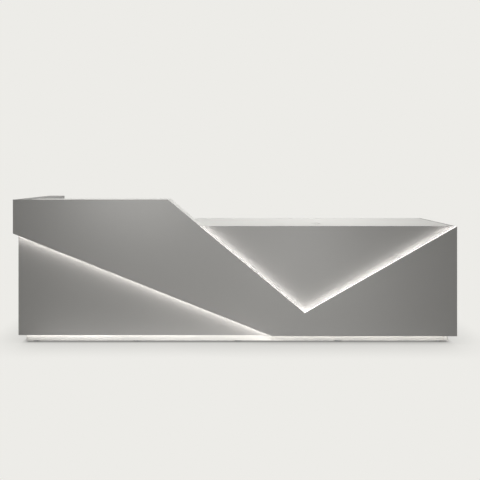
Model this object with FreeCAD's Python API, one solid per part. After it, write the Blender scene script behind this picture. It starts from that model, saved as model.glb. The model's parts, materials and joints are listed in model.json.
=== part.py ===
"""Reception desk with a tall counter on the left, a low worktop on the right and lit joints in its front.

Units are millimetres. The origin is on the floor under the middle of the desk. +X runs to the visitor's
right, +Y from the visitor's side to the staff's side, +Z up.
"""

import FreeCAD
import Part

import math
import os

V = FreeCAD.Vector

# Overall sizes
overall_length = 3300.0
overall_depth = 800.0
counter_height = 1080.0
worktop_height = 880.0
body_clearance = 65.0

# Front outline, measured from the left end and from the floor
slope_start = 1150.0
valley_distance = 2170.0
valley_height = 237.0
lower_line_height = 828.0
lower_line_run = 1925.0

# Boards
board = 18.0
face_board = 12.0
light_gap = 18.0
worktop_board = 25.0
base_board = 22.0
cap_board = 20.0
counter_depth = 180.0
return_width = 133.0
worktop_edge_radius = 5.0

# Hidden framing
batten_width = 70.0
batten_pitch = 500.0
batten_first = 150.0
batten_margin = 30.0
rib_first = 200.0
rib_pitch = 420.0
return_rib_count = 3

# Plinth and levelling feet
plinth_board = 18.0
plinth_setback = 80.0
plinth_inset = 40.0
plinth_rear_setback = 40.0
plinth_side_setback = 20.0
floor_gap = 10.0
front_feet = 5
foot_inset = 70.0
foot_pad_radius = 20.0
foot_pad_height = 7.0
foot_stud_radius = 5.0
foot_block_side = 26.0
foot_block_top_gap = 8.0
foot_block_height = 32.0
thread_clearance = 0.1

# Light channels
channel_depth = 12.0
channel_wall = 1.5
diffuser_board = 2.0
tape_width = 10.0
tape_board = 1.2
plinth_channel_width = 18.0
plinth_channel_depth = 8.0
plinth_channel_offset = 6.0

# Staff side layout
left_knee_width = 1187.0
drawer_bay_width = 412.0
cupboard_width = 450.0
worktop_overhang = 41.0
front_board = 18.0
front_gap = 1.0
front_reveal = 1.5
front_spacing = 3.0
front_top_gap = 4.0
front_bottom_gap = 2.0

# Drawers
top_front_height = 158.0
tray_rear_gap = 61.0
tray_wall = 1.5
tray_hem = 8.0
tray_lift = 28.0
tray_headroom = 42.0
slide_gap = 12.5
slide_height = 36.0
slide_wall = 1.5
slide_play = 0.5
slide_rise = 30.0

# Handles
handle_centres = 160.0
handle_bar_radius = 5.0
handle_post_radius = 4.0
handle_reach = 28.0
handle_end = 15.0
handle_drop = 45.0
door_handle_inset = 45.0

# Drawer lock
lock_radius = 9.0
lock_flange_radius = 11.0
lock_flange_board = 2.0
lock_clearance = 0.2
lock_side_inset = 40.0
lock_drop = 18.0
lock_tail = 7.0
lock_cam_length = 16.0
lock_cam_width = 10.0
lock_cam_board = 3.0
strike_width = 30.0
strike_drop = 12.0
strike_board = 2.0
strike_foot = 25.0
strike_play = 1.0
key_slot_length = 8.0
key_slot_width = 1.6
key_slot_depth = 4.0

# Cupboard
door_side_gap = 3.0
hinge_height = 80.0
hinge_leaf_width = 30.0
hinge_leaf_board = 2.0
hinge_knuckle_radius = 4.0
hinge_pin_radius = 2.0
hinge_pin_clearance = 0.05
hinge_knuckle_gap = 1.0
hinge_stand_off = 0.5
hinge_end_inset = 100.0
shelf_level = 480.0
shelf_setback = 20.0
shelf_side_gap = 1.0
shelf_pin_radius = 2.5
shelf_pin_reach = 8.0
shelf_pin_depth = 8.0
shelf_pin_inset = 60.0
shelf_pin_clearance = 0.05
shelf_hole_pitch = 32.0
shelf_holes_beyond = 3

# Cable grommets in the worktop
grommet_bore_radius = 30.0
grommet_fit = 0.2
grommet_wall = 2.8
grommet_flange = 6.0
grommet_flange_board = 2.5
grommet_plate = 2.5
grommet_play = 0.3
grommet_pivot_radius = 3.0
grommet_pivot_clearance = 0.05
grommet_hub_radius = 7.0
grommet_setback = 80.0
grommet_notch_radius = 6.0

# Cable tray, drivers and switch box under the worktop
tray_sheet = 1.5
cable_tray_length = 1000.0
cable_tray_depth = 120.0
cable_tray_drop = 85.0
cable_tray_lip = 50.0
cable_tray_flange = 30.0
cable_tray_inset = 110.0
driver_length = 180.0
driver_depth = 60.0
driver_height = 36.0
driver_spacing = 80.0
driver_first = 60.0
driver_ear = 12.0
driver_ear_board = 3.0
switch_box_length = 120.0
switch_box_depth = 60.0
switch_box_height = 45.0
switch_box_inset = 15.0
switch_box_setback = 30.0
rocker_length = 26.0
rocker_width = 13.0
rocker_depth = 7.0
rocker_proud = 2.0
rocker_tilt = 8.0
rocker_dish = 1.5
rocker_pivot_radius = 1.5
rocker_pivot_reach = 1.0
rocker_pivot_clearance = 0.05
rocker_end_room = 1.5
rocker_side_room = 0.5
rocker_back_room = 4.0
rocker_inset = 32.0
inlet_width = 24.0
inlet_height = 17.0
inlet_depth = 18.0
inlet_corner = 5.0

# Leads from the drivers to the light channels, inside the front wall
lead_radius = 3.0
lead_bend = 30.0
lead_run_out = 40.0
lead_rise = 24.0
lead_spacing = 12.0
lead_hole_clearance = 1.0
rib_hole_radius = 20.0
valley_feed = 80.0
lower_feed = 950.0

# Brackets that hold the worktop down
bracket_leg = 40.0
bracket_length = 60.0
bracket_sheet = 3.0
bracket_inset = 130.0

# Planes that the pieces share
left = -overall_length / 2
right = overall_length / 2
front = -overall_depth / 2
back = overall_depth / 2
face_back = front + face_board
core_front = face_back + light_gap
core_back = core_front + board
side_face_inner = left + face_board
core_left = side_face_inner + light_gap
gable_inner = core_left + board
return_inner = left + return_width
return_lining_outer = return_inner - board
return_end_front = back - board
counter_back = front + counter_depth
lining_front = counter_back - board
cap_under = counter_height - cap_board
worktop_under = worktop_height - worktop_board
base_top = body_clearance + base_board
end_inner = right - board
front_outer = back - worktop_overhang
front_inner = front_outer - front_board
carcass_back = front_inner - front_gap
tray_length = front_inner - counter_back - tray_rear_gap
partition_left_x = return_inner + left_knee_width
drawer_bay_x = partition_left_x + board
partition_middle_x = drawer_bay_x + drawer_bay_width
partition_right_x = end_inner - cupboard_width - board
plinth_left = core_left + plinth_inset
plinth_right = right - plinth_inset
plinth_front = front + plinth_setback
plinth_back = carcass_back - plinth_rear_setback
plinth_wall_back = counter_back - plinth_side_setback

# Corners of the front outline in the XZ plane
TALL_LEFT = (left, counter_height)
TALL_RIGHT = (left + slope_start, counter_height)
VALLEY = (left + valley_distance, valley_height)
LOW_RIGHT = (right, worktop_height)
BOTTOM_RIGHT = (right, body_clearance)
LOWER_RIGHT = (left + lower_line_run, body_clearance)
LOWER_LEFT = (left, lower_line_height)


def box(x0, x1, y0, y1, z0, z1):
    """A board between three pairs of planes."""
    return Part.makeBox(x1 - x0, y1 - y0, z1 - z0, V(x0, y0, z0))


def prism(points, along):
    """A closed outline of 3-D points pushed along a vector."""
    corners = [V(*p) for p in points]
    return Part.Face(Part.makePolygon(corners + corners[:1])).extrude(V(*along))


def prism_xz(points, y0, y1):
    """An outline in the XZ plane, from one depth to another."""
    return prism([(x, y0, z) for x, z in points], (0, y1 - y0, 0))


def prism_yz(points, x0, x1):
    """An outline in the YZ plane, from one side to another."""
    return prism([(x0, y, z) for y, z in points], (x1 - x0, 0, 0))


def prism_xy(points, z0, z1):
    """An outline in plan, from one height to another."""
    return prism([(x, y, z0) for x, y in points], (0, 0, z1 - z0))


def rod(radius, start, end):
    """A round bar between two points."""
    run = V(*end) - V(*start)
    return Part.makeCylinder(radius, run.Length, V(*start), run)


def group(solids):
    """Separate solids that share a node."""
    return Part.makeCompound(solids)


def evenly(first, last, count):
    """Places spread evenly from the first to the last."""
    step = (last - first) / (count - 1)
    return [first + step * i for i in range(count)]


def height_on(start, end, x):
    """Height of a straight edge of the outline at x."""
    return start[1] + (end[1] - start[1]) * (x - start[0]) / (end[0] - start[0])


def inset_edge(start, end, inset):
    """The same edge moved square to itself, to the right of its direction for a positive inset."""
    run_x, run_z = end[0] - start[0], end[1] - start[1]
    length = math.hypot(run_x, run_z)
    shift_x, shift_z = inset * run_z / length, -inset * run_x / length
    return (start[0] + shift_x, start[1] + shift_z), (end[0] + shift_x, end[1] + shift_z)


def at_height(edge, z):
    """The point of an edge, or of its extension, at height z."""
    (x0, z0), (x1, z1) = edge
    return x0 + (x1 - x0) * (z - z0) / (z1 - z0), z


def at_x(edge, x):
    """The point of an edge, or of its extension, at x."""
    return x, height_on(edge[0], edge[1], x)


def crossing(edge_a, edge_b):
    """Where two edges, or their extensions, meet."""
    (x0, z0), (x1, z1) = edge_a
    slope_a = (z1 - z0) / (x1 - x0)
    (x2, z2), (x3, z3) = edge_b
    slope_b = (z3 - z2) / (x3 - x2)
    x = (z2 - z0 + slope_a * x0 - slope_b * x2) / (slope_a - slope_b)
    return x, z0 + slope_a * (x - x0)


def slope_edge(inset=0.0):
    """The edge from the tall counter down to the valley, moved into the front by inset."""
    return inset_edge(TALL_RIGHT, VALLEY, inset)


def rising_edge(inset=0.0):
    """The edge from the valley up to the right end, moved into the front by inset."""
    return inset_edge(VALLEY, LOW_RIGHT, inset)


def lower_edge(inset=0.0):
    """The edge above the set-back lower panel, moved into the front by inset."""
    return inset_edge(LOWER_LEFT, LOWER_RIGHT, -inset)


# Where the underside of the sloping cap meets the underside of the counter cap, and the worktop
CAP_KNEE = at_height(slope_edge(cap_board), cap_under)
CAP_FOOT = at_height(slope_edge(cap_board), worktop_height)


# Front cladding


def front_cladding():
    """The folded grey band of the front, one face board mitred to the side at the left corner."""
    outline = [TALL_LEFT, TALL_RIGHT, VALLEY, LOW_RIGHT, BOTTOM_RIGHT, LOWER_RIGHT, LOWER_LEFT]
    mitre = [(left, front), (side_face_inner, face_back), (left, face_back)]
    return prism_xz(outline, front, face_back).cut(prism_xy(mitre, 0, counter_height))


def side_cladding():
    """The same board round the left corner, down to the level where the light line starts."""
    plan = [(left, front), (side_face_inner, face_back), (side_face_inner, back), (left, back)]
    return prism_xy(plan, lower_line_height, counter_height)


def batten_span(x):
    """Lowest and highest point of a batten that starts at x, clear of the light channels."""
    clear = channel_depth + batten_margin
    ends = (x, x + batten_width)
    low = max([body_clearance + batten_margin] + [at_x(lower_edge(clear), e)[1] for e in ends])
    tops = [at_x(slope_edge(clear), e)[1] if e < VALLEY[0] else at_x(rising_edge(clear), e)[1] for e in ends]
    return low, min([cap_under] + tops)


def cladding_battens():
    """Upright battens that hold the face boards off the core."""
    solids = []
    x = left + batten_first
    while x + batten_width < end_inner:
        low, high = batten_span(x)
        if high - low > batten_width:
            solids.append(box(x, x + batten_width, face_back, core_front, low, high))
        x += batten_pitch
    side_low = lower_line_height + channel_depth + batten_margin
    for y in evenly(core_front + batten_margin, return_end_front - batten_width - batten_margin, 3):
        solids.append(box(side_face_inner, core_left, y, y + batten_width, side_low, cap_under))
    return group(solids)


# Tall counter


def counter_cap():
    """White cap of the tall counter, from the return wall's cap to the mitre with the sloping cap."""
    outline = [(return_inner, counter_height), TALL_RIGHT, CAP_KNEE, (return_inner, cap_under)]
    return prism_xz(outline, face_back, counter_back)


def slope_cap():
    """White cap of the sloping end, standing on the worktop."""
    outline = [TALL_RIGHT, at_height(slope_edge(), worktop_height), CAP_FOOT, CAP_KNEE]
    return prism_xz(outline, face_back, counter_back)


def return_cap():
    """Grey cap of the left return wall, from the face board of the front to the rear."""
    return box(side_face_inner, return_inner, face_back, back, cap_under, counter_height)


def parapet_lining():
    """Grey lining of the tall counter on the staff's side, standing on the worktop."""
    outline = [(return_inner, worktop_height), CAP_FOOT, CAP_KNEE, (return_inner, cap_under)]
    return prism_xz(outline, lining_front, counter_back)


def wall_ribs():
    """Ribs inside the front wall: full height below the worktop, and again above it in the tall counter."""
    solids = []
    x = return_inner + rib_first
    y, z = lead_line()
    while x + board < end_inner:
        rib = box(x, x + board, core_back, lining_front, base_top, worktop_under)
        solids.append(rib.cut(rod(rib_hole_radius, (x, y, z), (x + board, y, z))))
        if x + board < CAP_KNEE[0]:
            solids.append(box(x, x + board, core_back, lining_front, worktop_height, cap_under))
        x += rib_pitch
    places = evenly(counter_back, return_end_front - board, return_rib_count)
    for y in places:
        solids.append(box(gable_inner, return_lining_outer, y, y + board, base_top, cap_under))
    return group(solids)


# Carcass


def core_front_panel():
    """Grey panel behind the cladding, seen in the two set-back triangles."""
    outline = [(core_left, body_clearance), (end_inner, body_clearance), (end_inner, worktop_height),
               CAP_FOOT, CAP_KNEE, (core_left, cap_under)]
    return prism_xz(outline, core_front, core_back).cut(lead_bores())


def left_gable():
    """Outer core of the left return wall, seen below the side cladding."""
    return box(core_left, gable_inner, core_back, return_end_front, body_clearance, cap_under)


def return_lining():
    """Staff-side lining of the left return wall."""
    return box(return_lining_outer, return_inner, core_back, return_end_front, base_top, cap_under)


def return_end_panel():
    """Closes the rear end of the left return wall and of its cladding."""
    outline = [(core_left, body_clearance), (return_inner, body_clearance), (return_inner, cap_under),
               (side_face_inner, cap_under), (side_face_inner, lower_line_height),
               (core_left, lower_line_height)]
    return prism_xz(outline, return_end_front, back)


def right_end_panel():
    """Grey right end, flush with the worktop, cut back under the light channel of the front."""
    panel = box(end_inner, right, face_back, back, body_clearance, worktop_height)
    near, far = (at_x(rising_edge(channel_depth), x) for x in (end_inner, right))
    above_light = [near, far, (right, worktop_height), (end_inner, worktop_height)]
    panel = panel.cut(prism_xz(above_light, face_back, core_front))
    return panel.cut(group(shelf_pin_holes(end_inner, 1)))


def modesty_panel():
    """Staff-side lining of the front wall below the worktop."""
    return box(return_inner, end_inner, lining_front, counter_back, base_top, worktop_under).cut(lead_bores())


def bottom_boards():
    """Bottom boards of the front wall, the left return wall, the drawer pedestal and the cupboard."""
    wall = box(gable_inner, end_inner, core_back, counter_back, body_clearance, base_top).cut(lead_bores())
    side = box(gable_inner, return_inner, counter_back, return_end_front, body_clearance, base_top)
    cabinets = ((partition_left_x, partition_middle_x + board), (partition_right_x, end_inner))
    floors = [box(x0, x1, counter_back, carcass_back, body_clearance, base_top) for x0, x1 in cabinets]
    return group([wall, side] + floors)


def partition(x):
    """Upright board beside a knee bay."""
    return box(x, x + board, counter_back, carcass_back, base_top, worktop_under)


def pedestal_sides():
    """The two sides of the drawer pedestal."""
    return group([partition(partition_left_x), partition(partition_middle_x)])


def cupboard_side():
    """Side of the cupboard towards the knee bay, drilled for the shelf pins."""
    inner = partition_right_x + board
    return partition(partition_right_x).cut(group(shelf_pin_holes(inner, -1)))


def worktop():
    """White worktop, full depth, with two cable holes."""
    top = box(return_inner, end_inner, core_back, back, worktop_under, worktop_height)
    edges = [e for e in top.Edges if abs(e.BoundBox.YMin - back) < 1e-6 and e.BoundBox.XLength > board]
    top = top.makeFillet(worktop_edge_radius, edges)
    for x, y in grommet_places():
        top = top.cut(rod(grommet_bore_radius, (x, y, worktop_under), (x, y, worktop_height)))
    return top


def worktop_brackets():
    """Steel angles under the worktop in the knee bays."""
    solids = []
    faces = ((return_inner, 1), (partition_left_x, -1),
             (partition_middle_x + board, 1), (partition_right_x, -1))
    low, top = worktop_under - bracket_leg, worktop_under
    for y in (counter_back + bracket_inset, carcass_back - bracket_inset):
        for x, side in faces:
            upright = sorted((x, x + side * bracket_sheet))
            flat = sorted((x, x + side * bracket_leg))
            leg = box(upright[0], upright[1], y, y + bracket_length, low, top)
            foot = box(flat[0], flat[1], y, y + bracket_length, top - bracket_sheet, top)
            solids.append(leg.fuse(foot).removeSplitter())
    return group(solids)


# Plinth


def plinth_front_board():
    """White toe board, washed by the light above it."""
    y0 = plinth_front
    return box(plinth_left, plinth_right, y0, y0 + plinth_board, floor_gap, body_clearance)


def plinth_cross(x, y0, y1):
    """A board of the plinth that runs from the front towards the rear."""
    return box(x, x + plinth_board, y0, y1, floor_gap, body_clearance)


def plinth_end_boards():
    """Toe boards at the two ends."""
    y0 = plinth_front + plinth_board
    return group([plinth_cross(plinth_left, y0, plinth_back),
                  plinth_cross(plinth_right - plinth_board, y0, plinth_back)])


def plinth_bays():
    """Inner faces of the plinth under the return wall, the pedestal and the cupboard, left and right."""
    wall = (plinth_left + plinth_board, plinth_left + plinth_board + foot_block_side)
    pedestal = (partition_left_x + plinth_side_setback + plinth_board,
                partition_middle_x + board - plinth_side_setback - plinth_board)
    cupboard = (partition_right_x + plinth_side_setback + plinth_board, plinth_right - plinth_board)
    return wall, pedestal, cupboard


def plinth_inner_boards():
    """Toe board along the back of the front wall, and the toe boards towards the knee bays."""
    return_wall, pedestal, cupboard = plinth_bays()
    y0, y1 = plinth_wall_back, plinth_back
    x0, x1 = plinth_left + plinth_board, plinth_right - plinth_board
    wall = box(x0, x1, y0 - plinth_board, y0, floor_gap, body_clearance)
    sides = [return_wall[1], pedestal[0] - plinth_board, pedestal[1], cupboard[0] - plinth_board]
    return group([wall] + [plinth_cross(x, y0, y1) for x in sides])


def plinth_rear_boards():
    """Rear toe boards under the return wall, the pedestal and the cupboard."""
    return group([box(x0, x1, plinth_back - plinth_board, plinth_back, floor_gap, body_clearance)
                  for x0, x1 in plinth_bays()])


def foot_places():
    """Centres of the levelling feet, inside the corners of the plinth and along its front board."""
    half = foot_block_side / 2
    front_row = plinth_front + plinth_board + half
    rear_row = plinth_back - plinth_board - half
    return_wall, pedestal, cupboard = plinth_bays()
    rear = [return_wall[0] + half]
    for x0, x1 in (pedestal, cupboard):
        rear += [x0 + half, x1 - half]
    along = evenly(plinth_left + foot_inset, plinth_right - foot_inset, front_feet)
    return [(x, front_row) for x in along] + [(x, rear_row) for x in rear]


def levelling_blocks():
    """Blocks screwed inside the plinth boards, threaded for the feet."""
    half = foot_block_side / 2
    top = body_clearance - foot_block_top_gap
    low = top - foot_block_height
    solids = []
    for x, y in foot_places():
        block = box(x - half, x + half, y - half, y + half, low, top)
        solids.append(block.cut(rod(foot_stud_radius + thread_clearance, (x, y, low), (x, y, top))))
    return group(solids)


def levelling_feet():
    """Turned feet: a domed pad on a stud."""
    edge = foot_pad_height / 2
    top = body_clearance - foot_block_top_gap
    outline = [V(0, 0, 0), V(foot_pad_radius, 0, 0), V(foot_pad_radius, 0, edge),
               V(foot_stud_radius * 2, 0, foot_pad_height), V(foot_stud_radius, 0, foot_pad_height),
               V(foot_stud_radius, 0, top), V(0, 0, top), V(0, 0, 0)]
    foot = Part.Face(Part.makePolygon(outline)).revolve(V(0, 0, 0), V(0, 0, 1), 360)
    return group([foot.translated(V(x, y, 0)) for x, y in foot_places()])


# Light channels


def strip_outline(edge, near, far, cut):
    """Part of an edge between two insets, cut square by a function that gives the two ends of an edge."""
    start_near, end_near = cut(edge(near))
    start_far, end_far = cut(edge(far))
    return [start_near, end_near, end_far, start_far]


def slope_ends(edge):
    """The slope's light runs from the worktop to the mitre in the valley."""
    inset = slope_inset(edge, TALL_RIGHT, VALLEY)
    return at_height(edge, worktop_height), crossing(edge, rising_edge(inset))


def rising_ends(edge):
    """The rising light runs from the mitre in the valley to the right end."""
    inset = slope_inset(edge, VALLEY, LOW_RIGHT)
    return crossing(slope_edge(inset), edge), at_x(edge, right)


def lower_ends(edge):
    """The lower light runs from the left corner to the bottom edge."""
    return at_x(edge, side_face_inner), at_height(edge, body_clearance)


def slope_inset(edge, start, end):
    """How far an edge was moved from the line between two corners."""
    run_x, run_z = end[0] - start[0], end[1] - start[1]
    off_x, off_z = edge[0][0] - start[0], edge[0][1] - start[1]
    return (off_x * run_z - off_z * run_x) / math.hypot(run_x, run_z)


FRONT_LIGHTS = {
    "slope": (slope_edge, slope_ends),
    "rising": (rising_edge, rising_ends),
    "lower": (lower_edge, lower_ends),
}


def light_strip(light, near, far, y0, y1):
    """A straight strip of a front light between two insets and two depths."""
    edge, ends = FRONT_LIGHTS[light]
    return prism_xz(strip_outline(edge, near, far, ends), y0, y1)


def front_channel(light):
    """Aluminium channel in the gap behind the face board, open towards the edge."""
    floor = channel_depth - channel_wall
    solid = light_strip(light, 0, channel_depth, face_back, core_front)
    return solid.cut(light_strip(light, 0, floor, face_back + channel_wall, core_front - channel_wall))


def front_tape(light):
    """Light tape on the channel's floor."""
    floor = channel_depth - channel_wall
    side = (light_gap - tape_width) / 2
    return light_strip(light, floor - tape_board, floor, face_back + side, core_front - side)


def front_diffuser(light):
    """Opal cover flush with the edge."""
    return light_strip(light, 0, diffuser_board, face_back + channel_wall, core_front - channel_wall)


def side_strip(low, high, inset):
    """A strip of the left side's light, along the foot of the side cladding."""
    return box(side_face_inner + inset, core_left - inset, core_front, return_end_front,
               lower_line_height + low, lower_line_height + high)


def plinth_strip(low, high, inset):
    """A strip of the light under the base, measured down from it."""
    y0 = core_back + plinth_channel_offset
    return box(plinth_left, plinth_right, y0 + inset, y0 + plinth_channel_width - inset,
               body_clearance - high, body_clearance - low)


def led_channels():
    """All five light channels."""
    side = side_strip(0, channel_depth, 0).cut(side_strip(0, channel_depth - channel_wall, channel_wall))
    under = plinth_strip(0, plinth_channel_depth, 0)
    under = under.cut(plinth_strip(channel_wall, plinth_channel_depth, channel_wall))
    return group([front_channel(light) for light in FRONT_LIGHTS] + [side, under])


def led_tapes():
    """The light tape in each channel."""
    floor = channel_depth - channel_wall
    side = side_strip(floor - tape_board, floor, (light_gap - tape_width) / 2)
    under = plinth_strip(channel_wall, channel_wall + tape_board, (plinth_channel_width - tape_width) / 2)
    return group([front_tape(light) for light in FRONT_LIGHTS] + [side, under])


def valley_diffusers():
    """Opal covers of the two arms of the valley, mitred at its foot."""
    return group([front_diffuser("slope"), front_diffuser("rising")])


def lower_diffusers():
    """Opal covers of the lower line, on the front and round the left corner."""
    return group([front_diffuser("lower"), side_strip(0, diffuser_board, channel_wall)])


def plinth_diffuser():
    """Opal cover of the light above the plinth."""
    return plinth_strip(plinth_channel_depth - diffuser_board, plinth_channel_depth, channel_wall)


# Drawers


def front_levels():
    """Lowest and highest edge of each drawer front, from the top drawer down."""
    high = worktop_under - front_top_gap
    low = body_clearance + front_bottom_gap
    deep = (high - low - top_front_height - 2 * front_spacing) / 2
    first = high - top_front_height
    second = first - front_spacing - deep
    return {"top": (first, high), "middle": (second, second + deep), "bottom": (low, low + deep)}


FRONT_LEVELS = front_levels()


def drawer_front(name):
    """Drawer front that covers the edges of both partitions."""
    low, high = FRONT_LEVELS[name]
    x0, x1 = partition_left_x + front_reveal, partition_middle_x + board - front_reveal
    panel = box(x0, x1, front_inner, front_outer, low, high)
    if name == "top":
        x, z = lock_centre()
        panel = panel.cut(rod(lock_radius + lock_clearance, (x, front_inner, z), (x, front_outer, z)))
    return panel


def tray_levels(name):
    """Underside and rim of a drawer's tray."""
    low, high = FRONT_LEVELS[name]
    return low + tray_lift, high - tray_headroom


def drawer_tray(name):
    """Folded steel tray, open on top, with hemmed sides."""
    low, high = tray_levels(name)
    x0, x1 = drawer_bay_x + slide_gap, partition_middle_x - slide_gap
    y0 = front_inner - tray_length
    shell = box(x0, x1, y0, front_inner, low, high)
    rear, fore = y0 + tray_wall, front_inner - tray_wall
    inner = box(x0 + tray_wall, x1 - tray_wall, rear, fore, low + tray_wall, high - tray_wall)
    mouth = box(x0 + tray_hem, x1 - tray_hem, rear, fore, high - tray_wall, high)
    return shell.cut(inner.fuse(mouth))


def slide_level(name):
    """Middle height of a drawer's slides."""
    return tray_levels(name)[0] + slide_rise


def rail(x, side, z):
    """Fixed member of a slide: a channel whose back is on the partition and whose lips reach to the tray."""
    half = slide_height / 2
    reach = slide_gap - slide_wall - slide_play
    outer = sorted((x, x + side * reach))
    inner = sorted((x + side * slide_wall, x + side * reach))
    y0 = front_inner - tray_length
    section = box(outer[0], outer[1], y0, front_inner - front_gap, z - half, z + half)
    lips = half - slide_wall
    return section.cut(box(inner[0], inner[1], y0, front_inner - front_gap, z - lips, z + lips))


def runner(x, side, z):
    """Moving member of a slide: a narrower channel on the tray, running between the lips of the fixed one."""
    half = slide_height / 2 - slide_wall - slide_play
    depth = slide_gap - slide_wall - 2 * slide_play
    outer = sorted((x, x - side * depth))
    hollow = sorted((x - side * slide_wall, x - side * depth))
    y0 = front_inner - tray_length
    section = box(outer[0], outer[1], y0, front_inner, z - half, z + half)
    lips = half - slide_wall
    return section.cut(box(hollow[0], hollow[1], y0, front_inner, z - lips, z + lips))


def drawer_rails():
    """Fixed members of all six slides."""
    solids = []
    for name in FRONT_LEVELS:
        z = slide_level(name)
        solids += [rail(drawer_bay_x, 1, z), rail(partition_middle_x, -1, z)]
    return group(solids)


def drawer_runners(name):
    """The two moving members of one drawer."""
    z = slide_level(name)
    return group([runner(drawer_bay_x + slide_gap, 1, z), runner(partition_middle_x - slide_gap, -1, z)])


def bar_handle(centre, along):
    """Bar on two posts, standing off a front; along is the bar's direction."""
    x, z = centre
    axis = V(*along)
    base = V(x, front_outer, z)
    bar_line = base + V(0, handle_reach, 0)
    half = handle_centres / 2
    ends = [bar_line + axis * (sign * (half + handle_end)) for sign in (-1, 1)]
    solid = rod(handle_bar_radius, tuple(ends[0]), tuple(ends[1]))
    for sign in (-1, 1):
        foot = base + axis * (sign * half)
        solid = solid.fuse(rod(handle_post_radius, tuple(foot), tuple(foot + V(0, handle_reach, 0))))
    return solid.removeSplitter()


def drawer_handle(name):
    """Handle in the upper part of a drawer front."""
    middle = drawer_bay_x + drawer_bay_width / 2
    return bar_handle((middle, FRONT_LEVELS[name][1] - handle_drop), (1, 0, 0))


def lock_centre():
    """Middle of the lock in the top drawer's front."""
    return partition_middle_x - lock_side_inset, FRONT_LEVELS["top"][1] - lock_drop


def drawer_lock():
    """Lock barrel with its flange, and the cam behind the front, lying level when unlocked."""
    x, z = lock_centre()
    tail = front_inner - lock_tail
    barrel = rod(lock_radius, (x, front_inner, z), (x, front_outer, z))
    flange = rod(lock_flange_radius, (x, front_outer, z), (x, front_outer + lock_flange_board, z))
    stem = rod(lock_cam_width / 2, (x, tail, z), (x, front_inner, z))
    half_long, half_wide = key_slot_length / 2, key_slot_width / 2
    outer = front_outer + lock_flange_board
    slot = box(x - half_wide, x + half_wide, outer - key_slot_depth, outer, z - half_long, z + half_long)
    half = lock_cam_width / 2
    cam = box(x - lock_cam_length, x, tail, tail + lock_cam_board, z - half, z + half)
    return barrel.fuse([flange, stem, cam]).cut(slot).removeSplitter()


def lock_strike():
    """Angle under the worktop that the raised cam hooks behind."""
    x, _ = lock_centre()
    y0 = front_inner - lock_tail + lock_cam_board + strike_play
    x0, x1 = x - strike_width / 2, x + strike_width / 2
    drop = box(x0, x1, y0, y0 + strike_board, worktop_under - strike_drop, worktop_under)
    foot = box(x0, x1, y0 - strike_foot, y0, worktop_under - strike_board, worktop_under)
    return drop.fuse(foot).removeSplitter()


# Cupboard

hinge_x = end_inner - hinge_knuckle_radius - hinge_stand_off
hinge_y = front_outer + hinge_knuckle_radius + hinge_stand_off


def door_levels():
    """Lowest and highest edge of the cupboard door."""
    return body_clearance + front_bottom_gap, worktop_under - front_top_gap


def cupboard_door():
    """Door hinged to the right end panel, covering the edge of the partition."""
    low, high = door_levels()
    x0, x1 = partition_right_x + front_reveal, end_inner - door_side_gap
    return box(x0, x1, front_inner, front_outer, low, high)


def hinge_levels():
    """Lowest point of each hinge."""
    low, high = door_levels()
    return low + hinge_end_inset, high - hinge_end_inset - hinge_height


def knuckles(z, moving):
    """Lowest and highest points of the knuckles of one leaf; the moving leaf has the middle one."""
    third = hinge_height / 3
    gap = hinge_knuckle_gap / 2
    first, second, top = z + third, z + 2 * third, z + hinge_height
    spans = [(z, first - gap), (first + gap, second - gap), (second + gap, top)]
    return spans[1:2] if moving else [spans[0], spans[2]]


def barrel_at(radius, low, high):
    """A round bar on the hinge axis."""
    return rod(radius, (hinge_x, hinge_y, low), (hinge_x, hinge_y, high))


def hinge_leaf(z, moving):
    """One leaf of a butt hinge with its knuckles, notched for the knuckles of the other leaf."""
    top = z + hinge_height
    if moving:
        plate = box(hinge_x - hinge_leaf_width, hinge_x, front_outer, front_outer + hinge_leaf_board, z, top)
    else:
        plate = box(end_inner - hinge_leaf_board, end_inner, hinge_y, hinge_y + hinge_leaf_width, z, top)
    clear = hinge_knuckle_radius + hinge_stand_off
    gap = hinge_knuckle_gap
    for low, high in knuckles(z, not moving):
        plate = plate.cut(barrel_at(clear, low - gap, high + gap))
    for low, high in knuckles(z, moving):
        plate = plate.fuse(barrel_at(hinge_knuckle_radius, low, high))
    bore = barrel_at(hinge_pin_radius + hinge_pin_clearance, z, top)
    return plate.cut(bore).removeSplitter()


def hinge_frame_leaves():
    """Leaves on the right end panel."""
    return group([hinge_leaf(z, False) for z in hinge_levels()])


def hinge_door_leaves():
    """Leaves on the door."""
    return group([hinge_leaf(z, True) for z in hinge_levels()])


def hinge_pins():
    """Pins of the two hinges."""
    return group([barrel_at(hinge_pin_radius, z, z + hinge_height) for z in hinge_levels()])


def door_handle():
    """Upright handle near the door's free edge."""
    low, high = door_levels()
    return bar_handle((partition_right_x + front_reveal + door_handle_inset, (low + high) / 2), (0, 0, 1))


def shelf_pin_places():
    """Depths of the shelf pins."""
    return counter_back + shelf_pin_inset, carcass_back - shelf_setback - shelf_pin_inset


def shelf_pin_line():
    """Height of the shelf pins' axes."""
    return shelf_level - shelf_pin_radius


def shelf_pin_holes(face, side):
    """Rows of blind holes for the shelf pins in a board's face; side points into the board."""
    radius = shelf_pin_radius + shelf_pin_clearance
    holes = []
    for step in range(-shelf_holes_beyond, shelf_holes_beyond + 1):
        z = shelf_pin_line() + step * shelf_hole_pitch
        for y in shelf_pin_places():
            holes.append(rod(radius, (face, y, z), (face + side * shelf_pin_depth, y, z)))
    return holes


def shelf_pins():
    """Four pins that the shelf rests on."""
    z = shelf_pin_line()
    faces = ((partition_right_x + board, -1), (end_inner, 1))
    solids = []
    for face, side in faces:
        inner, outer = face + side * shelf_pin_depth, face - side * shelf_pin_reach
        solids += [rod(shelf_pin_radius, (inner, y, z), (outer, y, z)) for y in shelf_pin_places()]
    return group(solids)


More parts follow.
